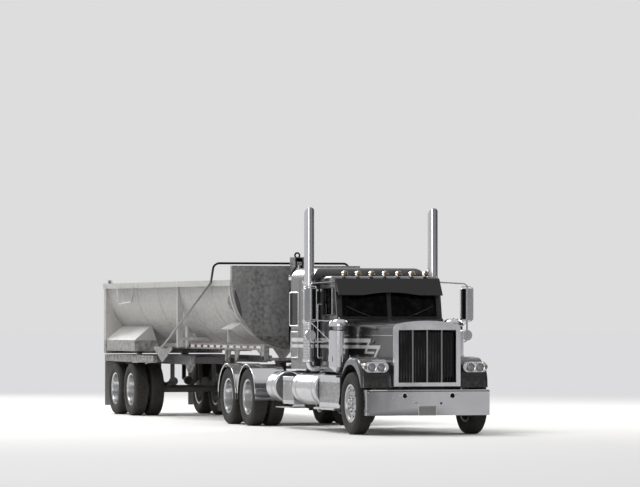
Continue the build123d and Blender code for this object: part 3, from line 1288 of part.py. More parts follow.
bogie = block(*BOGIE_RAIL) + block(*SIDE_RAIL)
bogie += side_form([(12850, 1060), (13300, 1060), (13080, 900)], BOGIE_RAIL[0])
for y in (SIDE_RAIL[1][0] + 1130, sum(TRAILER_AXLES) / 2):
    bogie += block((BOGIE_RAIL[0][1], SIDE_RAIL[0][0]), (y - 40, y + 40), (1100, 1160))
bogie += block(BOGIE_EAR_X, (BOGIE_PIVOT - 42, BOGIE_PIVOT + 42), (BOGIE_RAIL[2][1] - 1, LINK_Z))
bogie += rod_x(TAIL_EAR_RADIUS, BOGIE_EAR_X, BOGIE_PIVOT, LINK_Z)
bogie -= rod_x(LINK_PIN_RADIUS + BEARING_GAP, (BOGIE_RAIL[0][0] - 1, BOGIE_EAR_X[1] + 1), BOGIE_PIVOT, LINK_Z)
left, right = both_sides(bogie)
bogie = left + right + block((-SIDE_RAIL[0][1], SIDE_RAIL[0][1]), LIGHT_BAR_Y, (1100, 1240))
for y in BOGIE_CROSS:
    bogie += block((-BOGIE_RAIL[0][0], BOGIE_RAIL[0][0]), (y - 40, y + 40), (1080, 1200))
save("bogie_frame", bogie)

HANGER_REACH = 530
SPRING_SEAT = TYRE_RADIUS + 64

axles = []
for place in TRAILER_AXLES:
    reach = DUAL_MIDDLE_X + DUAL_BORE_END - 5
    axle = rod_x(64, (-HOUSING_END, HOUSING_END), place, TYRE_RADIUS)
    axle += rod_x(SPINDLE_RADIUS, (-reach, reach), place, TYRE_RADIUS)
    pack = leaf_pack(place, 560, SPRING_SEAT, 90, BOGIE_RAIL[0])
    pack += block(BOGIE_RAIL[0], (place - 60, place + 60), (TYRE_RADIUS, SPRING_SEAT + 5))
    for y in (place - HANGER_REACH, place + HANGER_REACH):
        pack += block(BOGIE_RAIL[0], (y - 25, y + 25), (SPRING_SEAT + 110, BOGIE_RAIL[2][0]))
    for piece in both_sides(pack):
        axle += piece
    axles.append(axle)
save("trailer_axles", axles)

flap = block((610, 1200), (LIGHT_BAR_Y[0] + 8, LIGHT_BAR_Y[0] + 18), (170, 1100))
save("trailer_mudflaps", both_sides(flap))

LAMP_PLACES = (300, 430, 1000, 1120)
lamps = []
for x in LAMP_PLACES:
    lamps += both_sides(rod_y(48, x, (LIGHT_BAR_Y[1], REAR_END), 1170))
save("rear_lamps", lamps)
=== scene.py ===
"""Dressing of a long-nose tractor and its half-round tipping semi-trailer.

Metres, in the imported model's own frame: Y to the rear, X to the rig's left, Z up, with the
origin on the ground at the middle of the rig.
"""
import math

import bmesh
import bpy
from mathutils import Matrix, Vector


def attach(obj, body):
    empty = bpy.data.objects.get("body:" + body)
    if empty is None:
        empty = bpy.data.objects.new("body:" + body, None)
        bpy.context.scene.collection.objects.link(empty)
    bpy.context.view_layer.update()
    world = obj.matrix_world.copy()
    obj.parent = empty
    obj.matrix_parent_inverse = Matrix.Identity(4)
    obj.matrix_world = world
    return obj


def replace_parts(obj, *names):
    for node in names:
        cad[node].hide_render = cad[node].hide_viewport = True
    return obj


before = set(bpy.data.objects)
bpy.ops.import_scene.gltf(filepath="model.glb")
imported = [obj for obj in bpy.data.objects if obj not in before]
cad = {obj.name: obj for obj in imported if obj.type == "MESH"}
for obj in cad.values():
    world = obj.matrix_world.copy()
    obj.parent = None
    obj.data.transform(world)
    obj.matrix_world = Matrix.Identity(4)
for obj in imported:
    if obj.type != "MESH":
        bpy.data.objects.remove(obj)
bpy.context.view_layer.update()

# Chassis: two steel rails joined by cross members and bolted. Dark chassis paint is sprayed
# over all of it, chipped by gravel and dulled by road dust.


def srgb(code, alpha=1.0):
    """A six-digit screen colour as the linear values that a socket takes."""
    parts = [int(code[i:i + 2], 16) / 255 for i in (0, 2, 4)]
    linear = [c / 12.92 if c <= 0.04045 else ((c + 0.055) / 1.055) ** 2.4 for c in parts]
    return (*linear, alpha)


def add(tree, kind, links=None, **settings):
    """Add a node. settings are its properties; links feed its inputs with values or sockets."""
    made = tree.nodes.new("ShaderNode" + kind)
    for name, value in settings.items():
        setattr(made, name, value)
    for key, value in (links or {}).items():
        if isinstance(value, bpy.types.NodeSocket):
            tree.links.new(value, made.inputs[key])
        else:
            made.inputs[key].default_value = value
    return made


def maths(tree, operation, first, second=0.5, third=0.0, clamp=False):
    """One Math node's result."""
    made = add(tree, "Math", {0: first, 1: second, 2: third}, operation=operation, use_clamp=clamp)
    return made.outputs[0]


def mix(tree, factor, first, second):
    """Two colours mixed by a factor."""
    made = add(tree, "Mix", {0: factor, 6: first, 7: second}, data_type="RGBA")
    return made.outputs[2]


def noise(tree, coords, scale, detail=4, stretch=(1, 1, 1)):
    """Fractal noise between 0 and 1, stretched along the axes."""
    mapped = add(tree, "Mapping", {"Vector": coords, "Scale": stretch})
    made = add(tree, "TexNoise", {"Vector": mapped.outputs[0], "Scale": scale, "Detail": detail})
    return made.outputs["Fac"]


def ramp(tree, value, low, high):
    """A value stretched so that low becomes 0 and high becomes 1."""
    made = add(tree, "MapRange", {"Value": value, "From Min": low, "From Max": high}, clamp=True)
    return made.outputs[0]


# Clouds, patches, running streaks and rubbed spots in each metre of a coating
CLOUDS, PATCHES, RUNS, RUBS = 2.3, 3.0, 7.0, 14.0


def material(name, colour, rough=0.5, metal=0.0, coat=0.0, dust=0.25, dust_colour="8d8983",
             patches=0.0, patch_colour="3a3836", streaks=0.0, wear=0.0, wear_colour="b9b7b2",
             bump=0.15, grain=180.0, marks=None, dirt_top=1.2, mottle=0.2):
    """A coating with dust that thickens towards the ground, patches, streaks and worn edges.

    grain is the coating's grains in a metre, so 180 is one to every 5.5 mm: coarser than the real
    one, which would not show.
    """
    made = bpy.data.materials.new(name)
    made.use_nodes = True
    tree = made.node_tree
    tree.nodes.clear()
    coords = add(tree, "TexCoord").outputs["Object"]
    height = add(tree, "SeparateXYZ", {0: coords}).outputs["Z"]
    fine = noise(tree, coords, grain, 3)
    broad = noise(tree, coords, CLOUDS, 6)
    base = mix(tree, maths(tree, "MULTIPLY", broad, mottle), srgb(colour), srgb(patch_colour))
    if marks:
        base = marks(tree, coords, base)
    if patches:
        spots = ramp(tree, noise(tree, coords, PATCHES, 4), 0.58 - patches * 0.2, 0.85)
        base = mix(tree, maths(tree, "MULTIPLY", spots, 0.6), base, srgb(patch_colour))
    if streaks:
        runs = ramp(tree, noise(tree, coords, RUNS, 5, (1.0, 1.0, 0.06)), 0.52, 0.78)
        base = mix(tree, maths(tree, "MULTIPLY", runs, streaks), base, srgb(patch_colour))
    low = ramp(tree, height, dirt_top, 0.0)
    speckle = maths(tree, "ADD", maths(tree, "MULTIPLY", low, 0.9), ramp(tree, fine, 0.35, 0.9))
    cover = maths(tree, "MULTIPLY", maths(tree, "MULTIPLY", speckle, broad), dust, clamp=True)
    base = mix(tree, cover, base, srgb(dust_colour))
    if wear:
        edge = ramp(tree, add(tree, "NewGeometry").outputs["Pointiness"], 0.52, 0.60)
        rubbed = maths(tree, "MULTIPLY", edge, ramp(tree, noise(tree, coords, RUBS), 0.35, 0.6))
        base = mix(tree, maths(tree, "MULTIPLY", rubbed, wear), base, srgb(wear_colour))
    gloss = maths(tree, "ADD", rough, maths(tree, "MULTIPLY", cover, 0.45), clamp=True)
    gloss = maths(tree, "ADD", gloss, maths(tree, "MULTIPLY", fine, 0.06), clamp=True)
    shape = add(tree, "Bump", {"Strength": bump, "Distance": 0.002, "Height": fine})
    surface = add(tree, "BsdfPrincipled", {
        "Base Color": base, "Roughness": gloss, "Metallic": metal, "Coat Weight": coat,
        "Coat Roughness": 0.06, "Normal": shape.outputs[0],
    })
    add(tree, "OutputMaterial", {"Surface": surface.outputs[0]})
    return made


def coat_nodes(coat, names):
    """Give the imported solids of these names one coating."""
    for name in names.split():
        cad[name].data.materials.clear()
        cad[name].data.materials.append(coat)


# Two-part enamel on rolled steel, brushed and sprayed: half matt, brown where it has worn
frame_paint = material("frame_paint", "232324", rough=0.5, dust=0.5, wear=0.5, wear_colour="6a655f",
                       patches=0.3, patch_colour="47413b", dirt_top=1.6)
coat_nodes(frame_paint, "frame_rails cross_members")

# Running gear and engine: axles, leaf springs, steering arms, engine block and coupling plate.
# They are iron castings and forgings, bolted under and between the rails and left oily.

# Sand-cast iron: dark and matt, with rusty patches where the oil is gone
iron = material("iron", "1d1c1b", rough=0.6, dust=0.6, patches=0.4, patch_colour="35302b", dirt_top=1.3)
coat_nodes(iron, "front_axle suspension drive_axles engine_block knuckle_left knuckle_right"
                 " tie_rod fifth_wheel trailer_axles")

# Wheels. Steel-belted tyres on forged alloy discs: ten hand holes, ten hub-piloted nuts and a
# hub cover. The twin sets bolt two discs back to back, so the outer one is deeply dished.

FRONT_AXLE = -8.152
DRIVE_AXLES = (-1.869, -0.552)
TRAILER_AXLES = (6.808, 8.088)
HUB_Z = 0.536


def place(name, form, coat, body, smooth=35, bevel=0.0):
    """Make a piece from a bmesh, smooth below an angle, and let it ride on a body."""
    bmesh.ops.recalc_face_normals(form, faces=form.faces)
    data = bpy.data.meshes.new(name)
    form.to_mesh(data)
    form.free()
    data.materials.append(coat)
    data.shade_smooth()
    data.set_sharp_from_angle(angle=math.radians(smooth))
    piece = bpy.data.objects.new(name, data)
    bpy.context.collection.objects.link(piece)
    if bevel:
        soften = piece.modifiers.new("edges", "BEVEL")
        soften.width = bevel
        soften.segments = 2
        soften.limit_method = "ANGLE"
    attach(piece, body)
    return piece


# What turns a cylinder from Z to lie along each row axis
AXES = {"X": Matrix.Rotation(math.pi / 2, 4, "Y"), "Y": Matrix.Rotation(-math.pi / 2, 4, "X"),
        "Z": Matrix.Identity(4)}


def rod(form, axis, centre, length, radius, tip=None, sides=16):
    """A cylinder or cone about a row axis, centred on a point."""
    turn = Matrix.Translation(centre) @ AXES[axis]
    bmesh.ops.create_cone(form, cap_ends=True, segments=sides, radius1=radius,
                          radius2=radius if tip is None else tip, depth=length, matrix=turn)


def lathe(form, profile, centre, axis="X", steps=48):
    """Spin a profile of (radius, distance along the axis) pairs into a closed skin of revolution."""
    out = {"X": Vector((0, 0, 1)), "Y": Vector((0, 0, 1)), "Z": Vector((1, 0, 0))}[axis]
    along = {"X": Vector((1, 0, 0)), "Y": Vector((0, 1, 0)), "Z": Vector((0, 0, 1))}[axis]
    centre = Vector(centre)
    points = [form.verts.new(centre + out * r + along * d) for r, d in profile]
    edges = [form.edges.new(pair) for pair in zip(points, points[1:])]
    bmesh.ops.spin(form, geom=points + edges, cent=centre, axis=along, angle=2 * math.pi,
                   steps=steps, use_merge=True)
    bmesh.ops.remove_doubles(form, verts=form.verts, dist=1e-5)


def nuts(form, centre, axis, circle, count, radius, height, phase=0.0):
    """A ring of six-sided nuts round an axis, standing out of a face."""
    first, second = {"X": ("Y", "Z"), "Y": ("X", "Z"), "Z": ("X", "Y")}[axis]
    step = {"X": Vector((1, 0, 0)), "Y": Vector((0, 1, 0)), "Z": Vector((0, 0, 1))}
    for index in range(count):
        angle = phase + 2 * math.pi * index / count
        offset = step[first] * math.cos(angle) * circle + step[second] * math.sin(angle) * circle
        rod(form, axis, Vector(centre) + offset, height, radius, radius * 0.8, 6)


# Moulded tyre rubber: matt, and chalky with road dust
rubber = material("tyre_rubber", "121212", rough=0.78, dust=0.30, dust_colour="6b675f", bump=0.4,
                  grain=420, dirt_top=1.0)
# Forged aluminium, machined and hazed by brake dust
wheel_alloy = material("wheel_alloy", "b9babc", rough=0.2, metal=1.0, dust=0.35, patch_colour="8f8f90",
                       bump=0.05, grain=300, dirt_top=1.1)
coat_nodes(rubber, " ".join(name for name in cad if name.startswith("wheel")))

# The casing from bead to shoulder as (radius, distance from the tyre's middle)
CASING = ((0.318, -0.110), (0.345, -0.124), (0.375, -0.136), (0.430, -0.140), (0.480, -0.136),
          (0.506, -0.128), (0.518, -0.118), (0.522, -0.098))
# The crown's ribs end at these distances from the middle, and blocks rise from them
RIB_EDGES = (-0.098, -0.060, -0.022, 0.022, 0.060, 0.098)
CROWN = 0.5225
SHOULDER = 0.518
GROOVE = 0.0045
TREAD_DEPTH = 0.0135
HOLES = 10
HOLE_CORNERS = 16
NUT_CIRCLE = 0.143
STEER_HALF_TRACK = 1.040
TWIN_HALF_TRACK = 0.902
TWIN_OFFSET = 0.168


def tyre(form, hub, blocks):
    """One tyre about X: casing with a bead ring, and a crown raised into ribs or blocks."""
    crown = [(CROWN, x) for x in RIB_EDGES[1:-1]]
    left = list(CASING)
    right = [(r, -x) for r, x in reversed(CASING)]
    lathe(form, left + crown + right, hub, "X", blocks)
    hub = Vector(hub)
    tread = [f for f in form.faces
             if math.hypot(*(f.calc_center_median() - hub).yz) > SHOULDER
             and abs(f.calc_center_median().x - hub.x) < RIB_EDGES[-1]]
    bmesh.ops.recalc_face_normals(form, faces=form.faces)
    bmesh.ops.inset_individual(form, faces=tread, thickness=GROOVE, depth=TREAD_DEPTH)


def pierced_ring(form, centre, outward, radii, depths, hole):
    """A dished ring about X between two radii with round hand holes, as a skin."""
    middle = (radii[0] + radii[1]) / 2
    sector = 2 * math.pi / HOLES

    def point(radius, angle):
        part = (radius - radii[0]) / (radii[1] - radii[0])
        depth = depths[0] + (depths[1] - depths[0]) * part
        return (centre[0] + outward * depth, centre[1] + radius * math.cos(angle),
                centre[2] + radius * math.sin(angle))

    for index in range(HOLES):
        start = sector * index
        ring, rim = [], []
        for k in range(HOLE_CORNERS):
            turn = 2 * math.pi * k / HOLE_CORNERS
            across, up = math.cos(turn), math.sin(turn)
            reach = max(abs(across), abs(up))
            square_radius = middle + up / reach * (radii[1] - radii[0]) / 2
            ring.append(form.verts.new(point(square_radius, start + across / reach * sector / 2)))
            rim.append(form.verts.new(point(middle + hole * up, start + hole * across / middle)))
        for k in range(HOLE_CORNERS):
            following = (k + 1) % HOLE_CORNERS
            form.faces.new((ring[k], ring[following], rim[following], rim[k]))
        inner = [form.verts.new(Vector(v.co) - Vector((outward * 0.02, 0, 0))) for v in rim]
        for k in range(HOLE_CORNERS):
            following = (k + 1) % HOLE_CORNERS
            form.faces.new((rim[k], rim[following], inner[following], inner[k]))


def disc(form, centre, outward, steered):
    """A forged disc and its rim, with nuts and hub cover, seen from outboard."""
    x, y, z = centre

    def skin(profile):
        lathe(form, [(r, outward * d) for r, d in profile], centre, "X", 60)

    if steered:
        pierced_ring(form, centre, outward, (0.200, 0.272), (0.097, 0.077), 0.024)
        skin([(0.272, 0.077), (0.290, 0.084), (0.298, 0.108), (0.322, 0.116), (0.334, 0.117),
              (0.336, 0.108), (0.318, 0.106)])
        skin([(0.336, -0.117), (0.322, -0.116), (0.298, -0.108), (0.290, -0.090), (0.286, 0.060),
              (0.272, 0.057)])
        skin([(0.200, 0.097), (0.186, 0.105), (0.086, 0.105), (0.080, 0.122), (0.076, 0.140),
              (0.060, 0.152), (0.0, 0.155)])
        nuts(form, (x + outward * 0.116, y, z), "X", NUT_CIRCLE, 10, 0.017, 0.026)
        rod(form, "X", (x + outward * 0.158, y, z), 0.014, 0.030, 0.026, 24)
        return
    pierced_ring(form, (x, y, z), outward, (0.214, 0.284), (0.022, 0.070), 0.024)
    skin([(0.284, 0.070), (0.292, 0.090), (0.290, 0.250), (0.298, 0.274), (0.322, 0.283),
          (0.334, 0.285), (0.336, 0.276), (0.318, 0.272)])
    skin([(0.214, 0.022), (0.205, 0.020), (0.112, 0.020), (0.110, 0.050), (0.104, 0.060),
          (0.094, 0.172), (0.070, 0.190), (0.0, 0.191)])
    nuts(form, (x + outward * 0.031, y, z), "X", NUT_CIRCLE, 10, 0.017, 0.026)
    nuts(form, (x + outward * 0.186, y, z), "X", 0.080, 8, 0.008, 0.012)
    skin([(0.336, -0.285), (0.322, -0.283), (0.298, -0.274), (0.288, -0.250), (0.284, -0.060),
          (0.205, -0.020), (0.130, -0.020), (0.128, -0.118), (0.062, -0.120)])
    skin([(0.336, 0.052), (0.300, 0.060), (0.296, 0.075), (0.296, -0.075), (0.300, -0.060),
          (0.336, -0.052)])


def wheel(name, body, centre, outward, offsets, blocks):
    """The tyre piece and the disc piece that stand for one wheel node."""
    form = bmesh.new()
    for offset in offsets:
        single = bmesh.new()
        tyre(single, (centre[0] + offset, centre[1], centre[2]), blocks)
        data = bpy.data.meshes.new("part")
        single.to_mesh(data)
        single.free()
        form.from_mesh(data)
        bpy.data.meshes.remove(data)
    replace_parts(place(f"{name}_tyres", form, rubber, body, 40), body)
    form = bmesh.new()
    disc(form, centre, outward, len(offsets) == 1)
    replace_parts(place(f"{name}_discs", form, wheel_alloy, body, 30), body)


for side, outward in (("left", 1), ("right", -1)):
    wheel(f"front_{side}", f"wheel_front_{side}", (outward * STEER_HALF_TRACK, FRONT_AXLE, HUB_Z),
          outward, (0,), 60)
    for group, axles, blocks in (("drive", DRIVE_AXLES, 46), ("trailer", TRAILER_AXLES, 60)):
        for number, y in enumerate(axles, 1):
            wheel(f"{group}_{number}_{side}", f"wheels_{group}_{number}_{side}",
                  (outward * TWIN_HALF_TRACK, y, HUB_Z), outward, (-TWIN_OFFSET, TWIN_OFFSET), blocks)

# Bumper: one deep pressed plate, chromed, bolted across the rails' ends. A rubber strip and a pale
# pad line its top edge, each tow hole has a turned ring with its pin beside it, and a blank
# number plate in a bright frame is screwed on low down.


def at(y):
    """A distance behind the front axle as the model's own Y."""
    return y + FRONT_AXLE


def bumper_reflection_marks(tree, coords, base):
    """A painted dark reflection on the chrome towards its right end and its foot, under a ragged edge."""
    axes = add(tree, "SeparateXYZ", {0: coords}).outputs
    ragged = maths(tree, "MULTIPLY_ADD", noise(tree, coords, 5.0, 3, (1.0, 1.0, 0.4)), 0.5, axes["X"])
    dark = ramp(tree, ragged, 0.32, -0.95)
    low = maths(tree, "MULTIPLY", ramp(tree, axes["Z"], 0.520, 0.360), ramp(tree, ragged, 0.75, 0.10))
    dark = maths(tree, "MAXIMUM", dark, low)
    return mix(tree, maths(tree, "MULTIPLY", dark, 0.75), base, srgb("5a5a5c"))


def block(form, x, y, z):
    """A box between three pairs of limits."""
    corner = [Vector((i, j, k)) for i in sorted(x) for j in sorted(y) for k in sorted(z)]
    made = [form.verts.new(v) for v in corner]
    for face in ((0, 1, 3, 2), (4, 6, 7, 5), (0, 4, 5, 1), (2, 3, 7, 6), (0, 2, 6, 4), (1, 5, 7, 3)):
        form.faces.new([made[i] for i in face])


def ball(form, centre, radius, stretch=(1, 1, 1), detail=12):
    """A ball, stretched along the row axes."""
    turn = Matrix.Translation(centre) @ Matrix.Diagonal((*stretch, 1))
    bmesh.ops.create_uvsphere(form, u_segments=detail * 2, v_segments=detail, radius=radius, matrix=turn)


def glass(name, colour, alpha, rough=0.03, shine=0.7):
    """Tinted toughened glass or a clear moulded lens, thin enough to need no refraction."""
    made = bpy.data.materials.new(name)
    made.use_nodes = True
    tree = made.node_tree
    tree.nodes.clear()
    coords = add(tree, "TexCoord").outputs["Object"]
    film = ramp(tree, noise(tree, coords, 9.0, 6), 0.45, 0.85)
    tone = mix(tree, maths(tree, "MULTIPLY", film, 0.12), srgb(colour), srgb("6f6d69"))
    gloss = maths(tree, "ADD", rough, maths(tree, "MULTIPLY", film, 0.12))
    surface = add(tree, "BsdfPrincipled", {
        "Base Color": tone, "Roughness": gloss, "Alpha": alpha, "IOR": 1.5, "Specular IOR Level": shine,
    })
    add(tree, "OutputMaterial", {"Surface": surface.outputs[0]})
    return made


# Chromium plate on pressed steel: a mirror, hazed with dust low down, with a dark reflection painted on
# towards its right end and foot
bumper_plate = material("bumper_plate", "dcdcde", rough=0.12, metal=1.0, dust=0.2, patch_colour="a5a5a8",
                        bump=0.03, dirt_top=0.8, marks=bumper_reflection_marks)
# Chromium plate on turned and drawn steel
chrome = material("chrome", "d6d6d8", rough=0.07, metal=1.0, dust=0.14, patch_colour="bdbdc0",
                  bump=0.03, dirt_top=0.8)
# Moulded sheet rubber, matt and grey with dust
flap_rubber = material("flap_rubber", "1c1c1c", rough=0.7, dust=0.5, bump=0.3, dirt_top=1.1)
# Pale enamel, for pads and tape
pale_paint = material("pale_paint", "d9d9d6", rough=0.4, dust=0.2, patch_colour="9a9994")
# Screened paint on the blank number plate
plate_paint = material("plate_paint", "868684", rough=0.5, dust=0.3, patches=0.5, patch_colour="545452")
# Moulded clear lens over a lamp
clear_lens = glass("clear_lens", "86888b", 0.65)
coat_nodes(bumper_plate, "bumper")

BUMPER_FACE = at(-0.786)
form = bmesh.new()
block(form, (-1.105, 1.105), (BUMPER_FACE - 0.002, BUMPER_FACE + 0.002), (0.746, 0.762))
place("bumper_strip", form, flap_rubber, "tractor")
form = bmesh.new()
for side in (1, -1):
    block(form, (side * 0.745, side * 1.057), (BUMPER_FACE - 0.003, BUMPER_FACE + 0.002), (0.763, 0.778))
place("bumper_pads", form, pale_paint, "tractor")
form = bmesh.new()
RING = ((0.038, 0.0), (0.052, 0.0), (0.052, -0.006), (0.048, -0.010), (0.040, -0.008), (0.038, 0.0))
TOW_X, TOW_Z = 0.430, 0.680
for side in (1, -1):
    lathe(form, RING, (side * TOW_X, BUMPER_FACE, TOW_Z), "Y", 32)
    rod(form, "X", (side * (TOW_X + 0.067), BUMPER_FACE - 0.010, TOW_Z), 0.070, 0.008)
    rod(form, "Z", (side * (TOW_X + 0.100), BUMPER_FACE - 0.010, TOW_Z), 0.040, 0.007)
    for x, z in ((1.085, 0.735), (1.085, 0.370), (0.640, 0.650), (0.300, 0.700), (0.560, 0.560)):
        ball(form, (side * x, BUMPER_FACE, z), 0.010, (1, 0.5, 1), 6)
place("tow_rings", form, chrome, "tractor")
# The number plate, and how far its frame stands out round it and laps over it
PLATE_X, PLATE_Z, FRAME_OUT, FRAME_LAP = (-0.175, 0.135), (0.345, 0.499), 0.010, 0.002
form = bmesh.new()
block(form, PLATE_X, (BUMPER_FACE - 0.004, BUMPER_FACE), PLATE_Z)
place("number_plate", form, plate_paint, "tractor", bevel=0.002)
form = bmesh.new()
(low_x, high_x), (low_z, high_z) = PLATE_X, PLATE_Z
depth = (BUMPER_FACE - 0.007, BUMPER_FACE)
for x in ((low_x - FRAME_OUT, low_x + FRAME_LAP), (high_x - FRAME_LAP, high_x + FRAME_OUT)):
    block(form, x, depth, (low_z - FRAME_OUT, high_z + FRAME_OUT))
for z in ((low_z - FRAME_OUT, low_z + FRAME_LAP), (high_z - FRAME_LAP, high_z + FRAME_OUT)):
    block(form, (low_x + FRAME_LAP, high_x - FRAME_LAP), depth, z)
place("plate_frame", form, chrome, "tractor", bevel=0.002)
form = bmesh.new()
for side in (1, -1):
    ball(form, (side * 1.107, at(-0.700), 0.420), 0.030, (0.6, 1, 1))
place("bumper_end_lamps", form, clear_lens, "tractor")

# Grille and radiator: upright steel bars in a chromed pressed surround, with three brighter
# posts, standing ahead of the radiator's black core.


def within(tree, value, low, high):
    """1 where a value lies between two limits, otherwise 0."""
    return maths(tree, "COMPARE", value, (low + high) / 2, (high - low) / 2)


# The opening inside the surround: half its width, its foot and its top
OPENING = (0.5185, 0.902, 1.803)
POSTS = (-0.262, 0.0, 0.262)


def grille_marks(tree, coords, base):
    """Dark bars and three half-bright posts inside the grille's bright surround."""
    axes = add(tree, "SeparateXYZ", {0: coords}).outputs
    across, height = axes["X"], axes["Z"]
    inside = maths(tree, "MULTIPLY", maths(tree, "LESS_THAN", maths(tree, "ABSOLUTE", across), OPENING[0]),
                   within(tree, height, *OPENING[1:]))
    base = mix(tree, inside, base, srgb("29292a"))
    for post in POSTS:
        face = maths(tree, "MULTIPLY", inside, maths(tree, "COMPARE", across, post, 0.0135))
        base = mix(tree, face, base, srgb("9a9a9c"))
    return base


# Chromium plate, softly brushed, so its patches of haze show
grille_metal = material("grille_metal", "f2f2f4", rough=0.25, metal=1.0, dust=0.12, patches=0.8,
                        patch_colour="8e8e90", bump=0.03, marks=grille_marks)
# Soldered copper fins, painted black
core = material("radiator_core", "0e0e0f", rough=0.7, dust=0.1, bump=0.4)
coat_nodes(grille_metal, "grille")
coat_nodes(core, "radiator")

# Headlamps: chromed bezels round two sealed beams, and an amber turn lamp outboard, all held in
# the polished pod on the fender's face.

# Amber moulded lens, faded by the sun
amber_lens = glass("amber_lens", "8a6a35", 0.85, 0.12)
coat_nodes(chrome, "headlamps")
POD_FACE = at(-0.650)
# The beams' distances from the middle, the turn lamp's, their height, and how much smaller and
# flatter the turn lamp is than a beam
BEAMS, TURN_LAMP, LAMP_Z = (0.811, 0.979), 1.084, 1.165
NARROWER, FLATTER = 0.46, 0.7
bezels, lenses, turn_lamps = bmesh.new(), bmesh.new(), bmesh.new()
BEZEL = ((0.066, 0.004), (0.083, 0.004), (0.085, -0.010), (0.079, -0.018), (0.070, -0.014), (0.066, 0.004))
LENS = ((0.0, -0.020), (0.025, -0.019), (0.048, -0.013), (0.062, -0.004), (0.067, 0.003))
for side in (1, -1):
    for x in BEAMS:
        lathe(bezels, BEZEL, (side * x, POD_FACE, LAMP_Z), "Y", 36)
        lathe(lenses, LENS, (side * x, POD_FACE, LAMP_Z), "Y", 36)
        rod(bezels, "Y", (side * x, POD_FACE - 0.008, LAMP_Z), 0.014, 0.020, 0.014, 20)
    for form, profile in ((bezels, BEZEL), (turn_lamps, LENS)):
        lathe(form, [(r * NARROWER, d * FLATTER) for r, d in profile],
              (side * TURN_LAMP, POD_FACE, LAMP_Z), "Y", 28)
place("headlamp_bezels", bezels, chrome, "hood")
place("headlamp_lenses", lenses, clear_lens, "hood")
place("turn_lamps", turn_lamps, amber_lens, "hood")

# Bodywork: cab, sleeper, doors, luggage doors and hood, of riveted aluminium sheet and moulded
# panels. They are sprayed black, with two pale bands whose front ends turn down into strokes.

# Each pale band by the heights it lies between and how far forward it reaches at its top
BANDS = ((1.580, 1.648, 0.310), (1.474, 1.532, -0.100))
# The slanted strokes that end the bands: height limits, where the top lies, run back per metre
# of drop, and half the stroke's length along the hood
STROKES = ((1.386, 1.648, 0.335, 0.78, 0.042), (1.335, 1.532, -0.085, 1.05, 0.045))
# The short foot of the first stroke
FOOT = (1.386, 1.424, 0.140, 0.520)


def stripes(tree, coords, base):
    """Two pale bands along the tractor's sides, their front ends turned down into strokes."""
    axes = add(tree, "SeparateXYZ", {0: coords}).outputs
    height, along = axes["Z"], axes["Y"]
    total = maths(tree, "MULTIPLY", within(tree, height, FOOT[0], FOOT[1]),
                  within(tree, along, at(FOOT[2]), at(FOOT[3])))
    for low, high, front in BANDS:
        band = within(tree, height, low, high)
        reach = maths(tree, "GREATER_THAN", along, at(front))
        total = maths(tree, "ADD", total, maths(tree, "MULTIPLY", band, reach), clamp=True)
    for low, high, top, slope, half in STROKES:
        drop = maths(tree, "SUBTRACT", high, height)
        middle = maths(tree, "MULTIPLY_ADD", drop, slope, at(top))
        stroke = maths(tree, "COMPARE", along, middle, half)
        stroke = maths(tree, "MULTIPLY", stroke, within(tree, height, low, high))
        total = maths(tree, "ADD", total, stroke, clamp=True)
    side = maths(tree, "GREATER_THAN", maths(tree, "ABSOLUTE", axes["X"]), 0.56)
    return mix(tree, maths(tree, "MULTIPLY", total, side), base, srgb("d0d0ce"))


# Sprayed enamel under clear lacquer: black, glossy, dusty low down
paint = material("tractor_paint", "252527", rough=0.32, metal=0.55, coat=0.8, dust=0.04, marks=stripes,
                 wear=0.1, mottle=0.03, bump=0.02)
coat_nodes(paint, "cab_shell sleeper_shell hood door_left door_right hatch_left hatch_right")

# Hood dressing: a bright strip along each shoulder, a rubber strip at the cowl and plain discs
# and catches on the sides, all screwed to the hood.


def sheet_between(form, rows):
    """A skin through rows of points, each row as long as the next."""
    grid = [[form.verts.new(p) for p in row] for row in rows]
    for first, second in zip(grid, grid[1:]):
        for i in range(len(first) - 1):
            form.faces.new((first[i], first[i + 1], second[i + 1], second[i]))


# Half the hood's width at its front edge, what it gains by the rear, how far that front edge is
# ahead of the axle, and the length between
HOOD_HALF, HOOD_GAIN, HOOD_EDGE, HOOD_LENGTH = 0.600, 0.190, 0.665, 1.955


def hood_half(y):
    """Half the hood's width at a distance behind the front axle."""
    return HOOD_HALF + HOOD_GAIN * (y + HOOD_EDGE) / HOOD_LENGTH


form = bmesh.new()
for side in (1, -1):
    sheet_between(form, [[(side * (hood_half(y) + out), at(y), z) for y in (-0.655, 0.300, 1.285)]
                         for out, z in ((0.000, 1.700), (0.004, 1.702), (0.004, 1.710), (0.000, 1.712))])
    rod(form, "X", (side * (hood_half(0.16) + 0.002), at(0.160), 1.595), 0.012, 0.036, 0.030, 28)
    rod(form, "X", (side * (hood_half(1.10) + 0.006), at(1.100), 1.250), 0.020, 0.022, 0.018, 16)
    block(form, (side * (hood_half(1.10) - 0.01), side * (hood_half(1.10) + 0.020)), (at(1.06), at(1.14)),
          (1.16, 1.19))
place("hood_trim", form, chrome, "hood")
cowl = bmesh.new()
arc = [(-0.789, 1.06), (-0.789, 1.80), (-0.760, 1.900), (-0.670, 1.962), (0.0, 2.012), (0.670, 1.962),
       (0.760, 1.900), (0.789, 1.80), (0.789, 1.06)]
sheet_between(cowl, [[(x * s, at(y), 1.0 + (z - 1.0) * s) for x, z in arc]
                     for s, y in ((0.995, 1.268), (1.003, 1.270), (1.003, 1.292), (0.980, 1.294))])
place("cowl_seal", cowl, flap_rubber, "hood")
